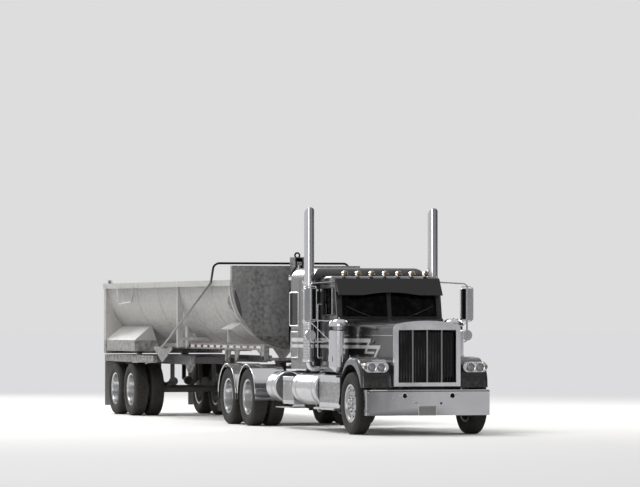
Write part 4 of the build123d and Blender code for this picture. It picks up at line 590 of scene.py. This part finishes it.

# Visor and roof lamps: a painted sheet-metal visor over the screens, and seven chromed bullet
# bodies on short feet along the roof's front edge, each with a domed amber lens in front.

# The visor is painted with the cab and stays cleaner; its colour is set far darker than the cab's as
# painted shade
shaded_visor_paint = material("shaded_visor_paint", "060607", rough=0.35, coat=0.15, dust=0.02, mottle=0.05, bump=0.02)
coat_nodes(shaded_visor_paint, "sun_visor")
coat_nodes(amber_lens, "roof_lamps")

bullets, domes = bmesh.new(), bmesh.new()
BULLET = ((0.0, 0.215), (0.014, 0.208), (0.033, 0.155), (0.045, 0.085), (0.049, 0.025), (0.049, 0.0),
          (0.040, -0.004))
DOME = ((0.040, 0.0), (0.037, -0.013), (0.024, -0.025), (0.0, -0.030))
ROOF_LAMPS, ROOF_PITCH, ROOF_LAMP_Z = 7, 0.250, 2.792
for index in range(ROOF_LAMPS):
    centre = ((index - ROOF_LAMPS // 2) * ROOF_PITCH, at(1.585), ROOF_LAMP_Z)
    lathe(bullets, BULLET, centre, "Y", 28)
    lathe(domes, DOME, centre, "Y", 28)
    block(bullets, (centre[0] - 0.012, centre[0] + 0.012), (at(1.640), at(1.735)), (2.700, 2.775))
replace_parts(place("lamp_bullets", bullets, chrome, "tractor"), "roof_lamps")
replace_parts(place("lamp_domes", domes, amber_lens, "tractor"), "roof_lamps")

# Cab dressing: wipers and the screens' rubber, door seals, hinges, handles and quarter-window
# bars, and the grab rails that stand on the cab behind the doors.


def bar(name, points, radius, coat, body, bends=0.05):
    """A round bar or hose along points, its corners rounded by a Bezier at each bend."""
    curve = bpy.data.curves.new(name, "CURVE")
    curve.dimensions = "3D"
    curve.bevel_depth = radius
    curve.bevel_resolution = 3
    curve.use_fill_caps = True
    path = curve.splines.new("BEZIER")
    knots = []
    points = [Vector(p) for p in points]
    for i, point in enumerate(points):
        if i in (0, len(points) - 1):
            knots.append((point, None))
            continue
        before, after = points[i - 1] - point, points[i + 1] - point
        cut = min(bends, before.length * 0.45, after.length * 0.45)
        knots.append((point + before.normalized() * cut, point))
        knots.append((point + after.normalized() * cut, point))
    path.bezier_points.add(len(knots) - 1)
    for knot, (where, corner) in zip(path.bezier_points, knots):
        knot.co = where
        knot.handle_left = where if corner is None else where.lerp(corner, 0.55)
        knot.handle_right = knot.handle_left
    for i, (where, corner) in enumerate(knots):
        if corner is not None:
            knot = path.bezier_points[i]
            first = i + 1 < len(knots) and knots[i + 1][1] == corner
            knot.handle_right = where.lerp(corner, 0.55) if first else where
            knot.handle_left = where if first else where.lerp(corner, 0.55)
    holder = bpy.data.objects.new(name, curve)
    bpy.context.collection.objects.link(holder)
    bpy.context.view_layer.update()
    data = bpy.data.meshes.new_from_object(holder.evaluated_get(bpy.context.evaluated_depsgraph_get()))
    bpy.data.objects.remove(holder)
    data.name = name
    data.materials.clear()
    data.materials.append(coat)
    data.shade_smooth()
    piece = bpy.data.objects.new(name, data)
    bpy.context.collection.objects.link(piece)
    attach(piece, body)
    return piece


def loop(name, points, radius, coat, body, bends=0.03):
    """A closed bead laid along a ring of corners."""
    middle = [(a + b) / 2 for a, b in zip(points[0], points[-1])]
    bar(name, [middle, *points, middle], radius, coat, body, bends)


# Toughened glass, coloured near black and nearly opaque: painted shade standing for the dark cab behind it
shaded_window_glass = glass("shaded_window_glass", "040405", 0.94, shine=0.1)
# Moulded grained plastic of the cab's lining
lining = material("lining", "202022", rough=0.7, dust=0.1, bump=0.5, grain=600)
coat_nodes(shaded_window_glass, "cab_glass door_glass_left door_glass_right")
coat_nodes(lining, "cab_interior")

SCREEN_X = (0.028, 0.880)
for side, end in ((1, "left"), (-1, "right")):
    inner, outer = (side * x for x in SCREEN_X)
    loop(f"screen_seal_{end}", [(inner, at(1.362), 2.020), (outer, at(1.362), 2.020),
                                (outer, at(1.476), 2.585), (inner, at(1.476), 2.585)],
         0.010, flap_rubber, "tractor")
    bar(f"wiper_{end}", [(side * 0.30, at(1.330), 2.010), (side * 0.42, at(1.352), 2.060),
                         (side * 0.70, at(1.372), 2.160)], 0.007, flap_rubber, "tractor")
    bar(f"wiper_blade_{end}", [(side * 0.46, at(1.348), 2.060), (side * 0.80, at(1.384), 2.215)],
        0.009, flap_rubber, "tractor")
    wall = side * 0.972
    loop(f"window_seal_{end}", [(wall, at(1.455), 2.060), (wall, at(1.575), 2.540),
                                (wall, at(2.230), 2.540), (wall, at(2.230), 2.060)],
         0.010, flap_rubber, f"door_{end}")
    form = bmesh.new()
    rod(form, "Z", (side * 0.972, at(1.655), 2.300), 0.480, 0.009)
    for z in (1.300, 1.880):
        rod(form, "Z", (side * 0.980, at(1.397), z), 0.110, 0.013)
        block(form, (side * 0.968, side * 0.976), (at(1.400), at(1.470)), (z - 0.04, z + 0.04))
    block(form, (side * 0.968, side * 0.986), (at(2.150), at(2.265)), (1.700, 1.765))
    rod(form, "X", (side * 0.975, at(2.205), 1.640), 0.016, 0.014, 0.012, 20)
    place(f"door_fittings_{end}", form, chrome, f"door_{end}", bevel=0.003)
    bar(f"grab_rail_{end}", [(side * 0.965, at(2.345), 1.300), (side * 1.025, at(2.345), 1.300),
                             (side * 1.025, at(2.345), 2.250), (side * 0.965, at(2.345), 2.250)],
        0.014, chrome, "tractor", 0.04)

# Mirrors: chromed heads in a tube loop on each side, held by an arm and a strut that are bolted
# to the cab's cowl ahead of the door, with silvered panes facing the rear.


def mirror_reflection_marks(tree, coords, base):
    """A painted dark reflection: a black band down the inner part of each tall mirror's back."""
    axes = add(tree, "SeparateXYZ", {0: coords}).outputs
    across = maths(tree, "ABSOLUTE", axes["X"])
    band = maths(tree, "MULTIPLY", within(tree, across, 1.352, 1.425),
                 within(tree, axes["Z"], 1.985, 2.520))
    return mix(tree, band, base, srgb("131314"))


# Chromium plate on the pressed heads, with a dark reflection painted down each back
mirror_shell = material("mirror_shell", "c4c4c6", rough=0.12, metal=1.0, dust=0.1, bump=0.03,
                        patch_colour="909093", marks=mirror_reflection_marks)
# Silvered glass
mirror_face = material("mirror_face", "aeb2b5", rough=0.03, metal=1.0, dust=0.05, bump=0.0)
coat_nodes(mirror_shell, "mirrors")

# Each loop's distance behind the axle, its inner and outer sides, and its foot and top
LOOP_Y, LOOP_X, LOOP_Z = at(1.415), (1.335, 1.565), (1.950, 2.560)
for side, end in ((1, "left"), (-1, "right")):
    inner, outer = (side * x for x in LOOP_X)
    foot, top = LOOP_Z
    loop(f"mirror_loop_{end}", [(inner, LOOP_Y, foot), (inner, LOOP_Y, top),
                                (outer, LOOP_Y, top), (outer, LOOP_Y, foot)],
         0.010, chrome, "tractor", 0.05)
    bar(f"mirror_arm_{end}", [(side * 0.960, at(1.372), 1.955), (inner, LOOP_Y, 1.960)],
        0.011, chrome, "tractor")
    bar(f"mirror_strut_{end}", [(side * 0.960, at(1.372), 1.480), (side * 1.440, at(1.402), 1.930)],
        0.009, chrome, "tractor")
panes = bmesh.new()
for side in (1, -1):
    block(panes, (side * 1.365, side * 1.535), (at(1.442), at(1.446)), (1.985, 2.330))
    block(panes, (side * 1.365, side * 1.535), (at(1.442), at(1.446)), (2.350, 2.510))
    rod(panes, "Y", (side * 1.450, at(1.437), 1.700), 0.008, 0.084, 0.080, 32)
place("mirror_panes", panes, mirror_face, "tractor")

# Sleeper dressing: beads round windows and luggage doors, seam straps with rivets, a louvred
# vent, and a latch on each luggage door.

for side, end in ((1, "left"), (-1, "right")):
    wall = side * 1.052
    loop(f"sleeper_frame_{end}", [(wall, at(3.455), 1.865), (wall, at(3.455), 2.465),
                                  (wall, at(3.995), 2.465), (wall, at(3.995), 1.865)],
         0.012, chrome, "tractor", 0.04)
    loop(f"hatch_bead_{end}", [(wall, at(3.475), 1.295), (wall, at(3.475), 1.755),
                               (wall, at(3.915), 1.755), (wall, at(3.915), 1.295)],
         0.007, chrome, f"hatch_{end}", 0.04)
    form = bmesh.new()
    block(form, (side * 1.048, side * 1.062), (at(3.845), at(3.915)), (1.500, 1.560))
    rod(form, "X", (side * 1.056, at(3.880), 1.460), 0.016, 0.012, 0.010, 16)
    place(f"hatch_latch_{end}", form, chrome, f"hatch_{end}", bevel=0.003)
LOUVRES, LOUVRE_FOOT, LOUVRE_PITCH, LOUVRE_WIDTH = 7, 2.300, 0.032, 0.012
RIVETS, RIVET_PITCH = 16, 0.100
form = bmesh.new()
for side in (1, -1):
    for y in (2.930, 3.360):
        block(form, (side * 1.048, side * 1.054), (at(y), at(y + 0.030)), (1.110, 2.700))
    block(form, (side * 1.048, side * 1.056), (at(2.520), at(4.060)), (1.140, 1.165))
    for row in range(LOUVRES):
        foot = LOUVRE_FOOT + row * LOUVRE_PITCH
        block(form, (side * 1.046, side * 1.060), (at(3.02), at(3.28)), (foot, foot + LOUVRE_WIDTH))
place("sleeper_straps", form, paint, "tractor", bevel=0.002)
form = bmesh.new()
for side in (1, -1):
    for y in (2.945, 3.375):
        for step in range(RIVETS):
            ball(form, (side * 1.054, at(y), 1.150 + step * RIVET_PITCH), 0.006, (0.6, 1, 1), 4)
place("sleeper_rivets", form, chrome, "tractor")
form = bmesh.new()
for side in (1, -1):
    for y, z in ((2.600, 1.330), (4.000, 2.760)):
        ball(form, (side * 1.050, at(y), z), 0.026, (0.6, 1.4, 0.8), 8)
place("side_markers", form, amber_lens, "tractor")

# Stack dressing: each chromed exhaust stack has a punched guard round its silencer, with rolled
# clamps above, below and between that tie it to the cab.

coat_nodes(chrome, "exhaust_stacks")
STACK_X, STACK_Y = 1.158, at(2.440)
# The clamps' heights; the guard's radius, its rows of slots and the slots in a row
CLAMPS = (1.250, 1.940, 2.640)
GUARD, SLOT_ROWS, SLOTS = 0.1058, 26, 20
# The guard's slots are drawn as dark iron patches on its face: painted shade standing for the holes
form, holes = bmesh.new(), bmesh.new()
BAND = ((0.090, -0.020), (0.112, -0.020), (0.116, -0.012), (0.116, 0.012), (0.112, 0.020), (0.090, 0.020))
for side in (1, -1):
    for z in CLAMPS:
        lathe(form, BAND, (side * STACK_X, STACK_Y, z), "Z", 40)
        block(form, (side * STACK_X - 0.02, side * STACK_X + 0.02), (at(2.310), at(2.335)),
              (z - 0.014, z + 0.014))
    for row in range(SLOT_ROWS):
        z = 1.300 + row * 0.050
        if abs(z - CLAMPS[1]) < 0.040:
            continue
        for column in range(SLOTS):
            turn = 2 * math.pi * (column + 0.5 * (row % 2)) / SLOTS
            corners = []
            for across, up in ((-0.006, 0), (0, -0.016), (0.006, 0), (0, 0.016)):
                angle = turn + across / GUARD
                corners.append(holes.verts.new((side * STACK_X + GUARD * math.cos(angle),
                                                STACK_Y + GUARD * math.sin(angle), z + up)))
            holes.faces.new(corners)
place("stack_clamps", form, chrome, "tractor")
place("guard_slot_shade", holes, iron, "tractor")

# Air cleaners: polished canisters beside the cowl, with intake screens under their caps and
# latch clips round the body.

coat_nodes(chrome, "air_cleaners")
# Where each cleaner stands, and the radius and count of its screen's bars and of its clips
CLEANER = (1.050, at(0.985))
SCREEN, SCREEN_BARS, BODY, CLIPS = 0.161, 48, 0.188, 6
form, slots = bmesh.new(), bmesh.new()
for side in (1, -1):
    centre = (side * CLEANER[0], CLEANER[1])
    for step in range(SCREEN_BARS):
        turn = 2 * math.pi * step / SCREEN_BARS
        x, y = centre[0] + SCREEN * math.cos(turn), centre[1] + SCREEN * math.sin(turn)
        rod(slots, "Z", (x, y, 1.825), 0.050, 0.004, None, 5)
    for step in range(CLIPS):
        turn = 2 * math.pi * (step + 0.5) / CLIPS
        x, y = centre[0] + BODY * math.cos(turn), centre[1] + BODY * math.sin(turn)
        rod(form, "Z", (x, y, 1.300), 0.110, 0.010, None, 8)
    ball(form, (centre[0], centre[1], 2.000), 0.016, (1, 1, 1.2), 8)
place("cleaner_clips", form, chrome, "tractor")
place("cleaner_screens", slots, iron, "tractor")

# Tanks and boxes: rolled aluminium tanks with filler caps and bands under their straps, and
# boxes with lids, latches and raised grip bars on their treads, hung outside the rails.


def box_marks(tree, coords, base):
    """Chequered plate: a duller, grip-patterned face on each box beside the frame."""
    axes = add(tree, "SeparateXYZ", {0: coords}).outputs
    grip = ramp(tree, noise(tree, coords, 38.0, 2), 0.42, 0.62)
    face = maths(tree, "MULTIPLY", within(tree, axes["Z"], 0.520, 0.880),
                 maths(tree, "GREATER_THAN", maths(tree, "ABSOLUTE", axes["X"]), 1.08))
    dull = mix(tree, grip, srgb("5c5c5e"), srgb("a2a2a4"))
    return mix(tree, maths(tree, "MULTIPLY", face, 0.85), base, dull)


# Aluminium polished by hand, with a soft haze
alloy = material("alloy", "c9cacc", rough=0.22, metal=1.0, dust=0.28, patch_colour="9b9b9d",
                 bump=0.08, grain=320, dirt_top=0.9)
# Aluminium chequer plate: its grip pattern is drawn coarse enough to show
box_alloy = material("box_alloy", "cfd0d2", rough=0.25, metal=1.0, dust=0.3, patch_colour="9b9b9d",
                     bump=0.1, grain=120, dirt_top=0.9, marks=box_marks)
coat_nodes(alloy, "side_tanks")
coat_nodes(box_alloy, "tool_boxes")

TANK_X, TANK_Z = 0.885, 0.755
form, treads = bmesh.new(), bmesh.new()
for side in (1, -1):
    rod(form, "Z", (side * TANK_X, at(2.480), 1.060), 0.060, 0.052, 0.048, 24)
    rod(form, "Z", (side * TANK_X, at(2.480), 1.098), 0.020, 0.060, 0.056, 24)
    for y in (2.2885, 3.2615):
        rod(form, "Y", (side * TANK_X, at(y), TANK_Z), 0.066, 0.3035, 0.3035, 64)
    for y in (1.010, 1.420, 1.830):
        block(form, (side * 1.090, side * 1.098), (at(y - 0.03), at(y + 0.03)), (0.860, 0.900))
    for y in (3.700, 4.050):
        block(form, (side * 1.120, side * 1.130), (at(y - 0.03), at(y + 0.03)), (0.790, 0.840))
    for row in range(5):
        x = 1.000 + row * 0.033
        block(treads, (side * x, side * (x + 0.010)), (at(0.850), at(2.020)), (1.000, 1.005))
        if x > 1.09:
            block(treads, (side * x, side * (x + 0.010)), (at(0.850), at(2.020)), (0.430, 0.435))
place("tank_fittings", form, alloy, "tractor", bevel=0.002)
place("step_grips", treads, alloy, "tractor")

# Draft arms: two welded box arms from the coupler to the tub's middle, with strips of pale and
# dark reflective tape along their outer faces and caps over their pivot pins.

# Grey enamel on welded steel, worn by gravel
trailer_paint = material("trailer_paint", "56565a", rough=0.5, dust=0.55, wear=0.5, patches=0.3,
                         streaks=0.3, patch_colour="3d3a37", dirt_top=1.8)
# Red moulded lens and tape
red_lens = glass("red_lens", "5a1512", 0.95, 0.15)
coat_nodes(trailer_paint, "coupler draft_arms landing_gear bogie_frame hoist_barrel")

# The tape: its faces, its foot and top, where it starts, its pitch, and where the pale and the
# dark lengths of each pitch end
ARM_FACE = (0.859, 0.862)
TAPES = 11
TAPE_Z = (1.432, 1.478)
TAPE_START, TAPE_PITCH, PALE_END, DARK_END = 6.550, 0.465, 0.275, 0.455
PIN_Y, PIN_Z = at(6.350), 1.250
tape, dark_tape = bmesh.new(), bmesh.new()
for side in (1, -1):
    for index in range(TAPES):
        start = at(TAPE_START + index * TAPE_PITCH)
        faces = [side * x for x in ARM_FACE]
        block(tape, faces, (start, start + PALE_END), TAPE_Z)
        block(dark_tape, faces, (start + PALE_END, start + DARK_END), TAPE_Z)
place("arm_tape_pale", tape, pale_paint, "draft_arms")
place("arm_tape_red", dark_tape, red_lens, "draft_arms")
form = bmesh.new()
for side in (1, -1):
    rod(form, "X", (side * 0.872, PIN_Y, PIN_Z), 0.020, 0.042, 0.038, 24)
    nuts(form, (side * 0.884, PIN_Y, PIN_Z), "X", 0.026, 4, 0.008, 0.010)
place("arm_pin_caps", form, iron, "draft_arms")

# Hoist: a telescoping cylinder of ground steel stages that slide out of each other, pinned
# between the coupler and the tub's head.

# Ground steel rods with an oil film
bright_steel = material("bright_steel", "a9a9ab", rough=0.2, metal=1.0, dust=0.15, patch_colour="7c7c7e")
coat_nodes(bright_steel, "hoist_stage_1 hoist_stage_2 hoist_stage_3 hoist_stage_4")

# Landing gear: two square legs under the arms, with a cast gearbox and a folding crank on the
# right one, and tie bolts down both.

LEG_Y = at(8.950)
form = bmesh.new()
block(form, (-0.700, -0.767), (at(8.890), at(9.010)), (1.080, 1.240))
rod(form, "X", (-0.885, LEG_Y, 1.160), 0.060, 0.016, None, 12)
for side in (1, -1):
    for z in (0.700, 0.900, 1.100, 1.300):
        nuts(form, (side * 0.860, LEG_Y, z), "X", 0.030, 4, 0.008, 0.010, math.pi / 4)
place("leg_gearbox", form, iron, "draft_arms", bevel=0.004)
bar("leg_crank", [(-0.905, LEG_Y, 1.160), (-0.915, LEG_Y, 0.960), (-0.985, LEG_Y, 0.955)],
    0.009, iron, "draft_arms", 0.02)

# Tub: a half-round shell of rolled steel plates with a bulkhead at its head, on rails and ribs.
# Weld seams run round it, and marker lamps and the hoist's lifting ring are fixed to it.

TUB_CENTRE = 2.660
TUB_OUTER = 1.220
# Painted shade on the tub's side, darker towards the bottom and duller under the rail, pale
# over the middle: the heights that each tone starts and is full at, its strength and its colour
SIDE_SHADE_TONES = ((2.250, 1.560, 0.85, "4c4c4d"), (2.440, 2.640, 0.30, "77777a"))
# Shade painted as a dark patch where the opening behind the bulkhead's flange lies: foot, height and
# greatest width
SHADED_GAP = (2.020, 0.500, 0.560)
# Where the bulkhead's flange ends
FLANGE = 7.190


def tub_shade_marks(tree, coords, base):
    """Painted shade: side tones, a dark patch at the opening behind the flange, a darker bulkhead and
    foot.
    """
    axes = add(tree, "SeparateXYZ", {0: coords}).outputs
    # Painted shade: the side darker towards the bottom and duller under the rail
    for start, full, strength, colour in SIDE_SHADE_TONES:
        fade = maths(tree, "MULTIPLY", ramp(tree, axes["Z"], start, full), strength)
        base = mix(tree, fade, base, srgb(colour))
    # A dark patch painted as shade where the opening behind the flange lies, on the outer skin only
    foot, tall, wide = SHADED_GAP
    up = maths(tree, "DIVIDE", maths(tree, "SUBTRACT", axes["Z"], foot + tall / 2), tall / 2)
    reach = maths(tree, "MULTIPLY_ADD", maths(tree, "MULTIPLY", up, up), -wide, at(FLANGE) + wide)
    drop = maths(tree, "SUBTRACT", axes["Z"], TUB_CENTRE)
    out = maths(tree, "MULTIPLY_ADD", axes["X"], axes["X"], maths(tree, "MULTIPLY", drop, drop))
    outside = maths(tree, "GREATER_THAN", out, (TUB_OUTER - 0.006) ** 2)
    gap_shade = maths(tree, "MULTIPLY", maths(tree, "LESS_THAN", axes["Y"], reach), outside)
    base = mix(tree, gap_shade, base, srgb("2b2b2c"))
    # Painted shade: the bulkhead takes a darker grey than the tub's side, in random upright bands, and is
    # darker still at its foot below 1.66 m
    front = maths(tree, "LESS_THAN", axes["Y"], at(FLANGE))
    upright_bands = ramp(tree, noise(tree, coords, 2.2, 1, (1.0, 1.0, 0.03)), 0.35, 0.65)
    sheet = mix(tree, upright_bands, srgb("626264"), srgb("79797b"))
    base = mix(tree, front, base, sheet)
    head = maths(tree, "MULTIPLY", front, maths(tree, "GREATER_THAN", axes["Z"], 3.000))
    base = mix(tree, head, base, srgb("161617"))
    foot = maths(tree, "MULTIPLY", front, maths(tree, "LESS_THAN", axes["Z"], 1.66))
    return mix(tree, maths(tree, "MULTIPLY", foot, 0.8), base, srgb("2a2a2a"))


def rib_shade_marks(tree, coords, base):
    """Painted shade on the low brackets and below the wheel shields' chamfer; near black over the tub's
    head.
    """
    axes = add(tree, "SeparateXYZ", {0: coords}).outputs
    rear = maths(tree, "GREATER_THAN", axes["Y"], at(14.000))
    edge = maths(tree, "MULTIPLY_ADD", rear, 0.11, 1.435)
    low = maths(tree, "LESS_THAN", axes["Z"], edge)
    base = mix(tree, maths(tree, "MULTIPLY", low, 0.8), base, srgb("515153"))
    head = maths(tree, "MULTIPLY", maths(tree, "LESS_THAN", axes["Y"], at(7.450)),
                 maths(tree, "GREATER_THAN", axes["Z"], 2.995))
    return mix(tree, head, base, srgb("121213"))


# Enamel on plate steel, scuffed and dusty inside and out, with shade painted on its side and bulkhead
tub_paint = material("tub_paint", "9a9a98", rough=0.42, dust=0.30, patches=0.12, streaks=0.3,
                     patch_colour="6d6b68", dust_colour="a8a59f", dirt_top=2.0, wear=0.4,
                     marks=tub_shade_marks, bump=0.04, grain=60.0, mottle=0.1)
# Pale enamel on rails and ribs, with shade painted on low down
rib_paint = material("rib_paint", "b4b4b2", rough=0.45, dust=0.3, patches=0.2, streaks=0.3,
                     patch_colour="77756f", wear=0.5, dirt_top=1.8, marks=rib_shade_marks)
coat_nodes(tub_paint, "tub_shell tailgate")
coat_nodes(rib_paint, "tub_frame")

SEAM_HALF = 0.016
form = bmesh.new()
for side in (1, -1):
    for y in (8.650, 10.250, 12.700, 14.350):
        rows = []
        for out in (0.0, 0.004, 0.004, 0.0):
            along = SEAM_HALF if len(rows) > 1 else -SEAM_HALF
            rows.append([(side * (TUB_OUTER + out) * math.sin(math.radians(a)), at(y) + along,
                          TUB_CENTRE - (TUB_OUTER + out) * math.cos(math.radians(a)))
                         for a in range(12, 89, 4)])
        sheet_between(form, rows)
place("tub_seams", form, tub_paint, "tub")
form = bmesh.new()
for side in (1, -1):
    for y in (7.500, 9.450, 11.080, 13.300, 15.300):
        ball(form, (side * 1.262, at(y), 2.665), 0.024, (0.5, 1.5, 0.9), 8)
place("tub_markers", form, red_lens, "tub")
# The ring: its middle, its own radius and its wire's
RING_Y, RING_Z, RING_RADIUS, RING_WIRE = at(7.020), 3.185, 0.046, 0.016
form = bmesh.new()
bmesh.ops.create_circle(form, segments=16, radius=RING_WIRE,
                        matrix=Matrix.Translation((RING_RADIUS, RING_Y, RING_Z)) @ AXES["Y"])
bmesh.ops.spin(form, geom=form.verts[:] + form.edges[:], cent=(0, RING_Y, RING_Z), axis=(0, 1, 0),
               angle=2 * math.pi, steps=28, use_merge=True)
block(form, (-0.030, 0.030), (at(7.000), at(7.040)), (3.140, 3.156))
place("lifting_ring", form, trailer_paint, "tub")

# Tarp bow: one bent steel tube over the tub's head, pinned to the rails at its feet. It is
# painted black, and rubbed to bare metal low down.


def tube_marks(tree, coords, base):
    """The tarp's tube is pale and rubbed low down, and black over the tub."""
    height = add(tree, "SeparateXYZ", {0: coords}).outputs["Z"]
    return mix(tree, ramp(tree, height, 1.900, 2.950), base, srgb("19191a"))


# Drawn steel tube, half bright where it is bare
tarp_steel = material("tarp_steel", "8f8f91", rough=0.35, metal=0.8, dust=0.15, patch_colour="5c5c5e",
                      marks=tube_marks)
coat_nodes(tarp_steel, "tarp_bow")

# Bogie dressing: brake chambers with their rods, the bolts along the side rails, pale rubber
# flaps behind the wheels, and red lamps.


def brake_chamber(form, across, cover, towards, height):
    """A spring brake: a tapered cover, and the drum beyond it."""
    rod(form, "Y", (across, cover, height), 0.070, 0.075, 0.060, 24)
    rod(form, "Y", (across, cover + towards * 0.080, height), 0.090, 0.085, 0.085, 24)


# Sheet rubber, caked with pale dust
pale_flap = material("pale_flap", "8b8a86", rough=0.8, dust=0.5, streaks=0.5, bump=0.3, dirt_top=1.0)
coat_nodes(pale_flap, "trailer_mudflaps")
coat_nodes(red_lens, "rear_lamps")
RAIL_BOLTS, BOLT_PITCH = 14, 0.270
form, bolts = bmesh.new(), bmesh.new()
for side in (1, -1):
    for axle in TRAILER_AXLES:
        brake_chamber(form, side * 0.330, axle - 0.120, -1, 0.700)
        rod(form, "Y", (side * 0.330, axle - 0.060, 0.680), 0.080, 0.012, None, 10)
place("brake_chambers", form, iron, "bogie")
for side in (1, -1):
    for index in range(RAIL_BOLTS):
        y = at(13.300 + index * BOLT_PITCH)
        rod(bolts, "X", (side * 1.204, y, 1.205), 0.012, 0.012, 0.011, 6)
place("rail_bolts", bolts, iron, "bogie")

# Drive axle dressing: spring brake chambers behind the axles, polished fenders over the twin
# wheels with a rolled bead along their outer edge, and rubber flaps behind.

coat_nodes(chrome, "drive_fenders")
coat_nodes(flap_rubber, "tractor_mudflaps")
FENDER_EDGE, FENDER_RADIUS = 1.213, 0.604
form = bmesh.new()
for side in (1, -1):
    for axle in DRIVE_AXLES:
        brake_chamber(form, side * 0.340, axle + 0.110, 1, 0.690)
place("drive_brakes", form, iron, "tractor")
for side, end in ((1, "left"), (-1, "right")):
    for number, axle in enumerate(DRIVE_AXLES, 1):
        points = []
        for degrees in range(-84, 85, 12):
            turn = math.radians(degrees)
            points.append((side * FENDER_EDGE, axle + FENDER_RADIUS * math.sin(turn),
                           HUB_Z + FENDER_RADIUS * math.cos(turn)))
        bar(f"fender_bead_{number}_{end}", points, 0.012, chrome, "tractor", 0.05)

# Stage: a plain pale floor, four soft lamps, and the camera at the photograph's angle. The floor
# keeps the shadow, and far away it takes the backdrop's tone.

floor_mesh = bmesh.new()
bmesh.ops.create_grid(floor_mesh, x_segments=1, y_segments=1, size=400)
floor_data = bpy.data.meshes.new("floor")
floor_mesh.to_mesh(floor_data)
floor_mesh.free()
floor = bpy.data.objects.new("floor", floor_data)
bpy.context.collection.objects.link(floor)
floor_coat = bpy.data.materials.new("floor")
floor_coat.use_nodes = True
matt = floor_coat.node_tree.nodes["Principled BSDF"].inputs
matt["Base Color"].default_value = srgb("efeeec")
matt["Roughness"].default_value = 0.9


def background_rays(tree):
    """1 on rays that show the background: the camera's own, and those off metal or through glass."""
    rays = add(tree, "LightPath").outputs
    shown = maths(tree, "ADD", rays["Is Camera Ray"], rays["Is Glossy Ray"], clamp=True)
    return maths(tree, "ADD", shown, rays["Is Transmission Ray"], clamp=True)


# To those rays the floor fades into the backdrop's pale grey between these distances
FADE = (9, 34)
ground = floor_coat.node_tree
spread = add(ground, "VectorMath", {0: add(ground, "TexCoord").outputs["Object"]}, operation="LENGTH")
far = maths(ground, "MULTIPLY", ramp(ground, spread.outputs["Value"], *FADE), background_rays(ground))
glow = add(ground, "Emission", {"Color": srgb("dcdcde")})
near = ground.nodes["Principled BSDF"].outputs[0]
faded = add(ground, "MixShader", {0: far, 1: near, 2: glow.outputs[0]})
ground.links.new(faded.outputs[0], ground.nodes["Material Output"].inputs["Surface"])
floor_data.materials.append(floor_coat)


def soft_light(name, stand, aim, size, power):
    """A large area lamp turned towards a point."""
    data = bpy.data.lights.new(name, "AREA")
    data.size = size
    data.energy = power
    lamp = bpy.data.objects.new(name, data)
    lamp.location = stand
    lamp.rotation_euler = (Vector(aim) - Vector(stand)).to_track_quat("-Z", "Y").to_euler()
    bpy.context.collection.objects.link(lamp)


soft_light("key", (-10, 6, 27), (0, 0, 1.5), 12, 5400)
soft_light("fill", (-14, -32, 9), (0, -8, 1.5), 14, 1500)
soft_light("rim", (20, 8, 16), (0, 0, 2), 12, 2300)
soft_light("back", (-2, 32, 12), (0, -4, 2), 10, 3200)

# The surroundings: pale ahead, darker to the right and behind, so that chrome has something to show
world = bpy.data.worlds.new("studio")
world.use_nodes = True
sky = world.node_tree
towards = add(sky, "SeparateXYZ", {0: add(sky, "TexCoord").outputs["Generated"]}).outputs
tone = mix(sky, ramp(sky, towards["X"], 0.45, 0.80), srgb("f1f1f2"), srgb("5b5c5f"))
tone = mix(sky, ramp(sky, towards["Y"], -0.35, -0.95), tone, srgb("8d8e91"))
sky.links.new(tone, sky.nodes["Background"].inputs["Color"])
strength = maths(sky, "MULTIPLY_ADD", background_rays(sky), 0.14, 0.68)
sky.links.new(strength, sky.nodes["Background"].inputs["Strength"])
bpy.context.scene.world = world

lens_data = bpy.data.cameras.new("camera")
lens_data.sensor_width = 36
lens_data.lens = 241.1
lens_data.clip_end = 1000
camera = bpy.data.objects.new("camera", lens_data)
camera.location = (-23.31, -78.602, 2.04)
camera.rotation_euler = (math.radians(90.97), 0, math.radians(-17.05))
bpy.context.collection.objects.link(camera)
bpy.context.scene.camera = camera
bpy.context.scene.view_settings.view_transform = "Standard"
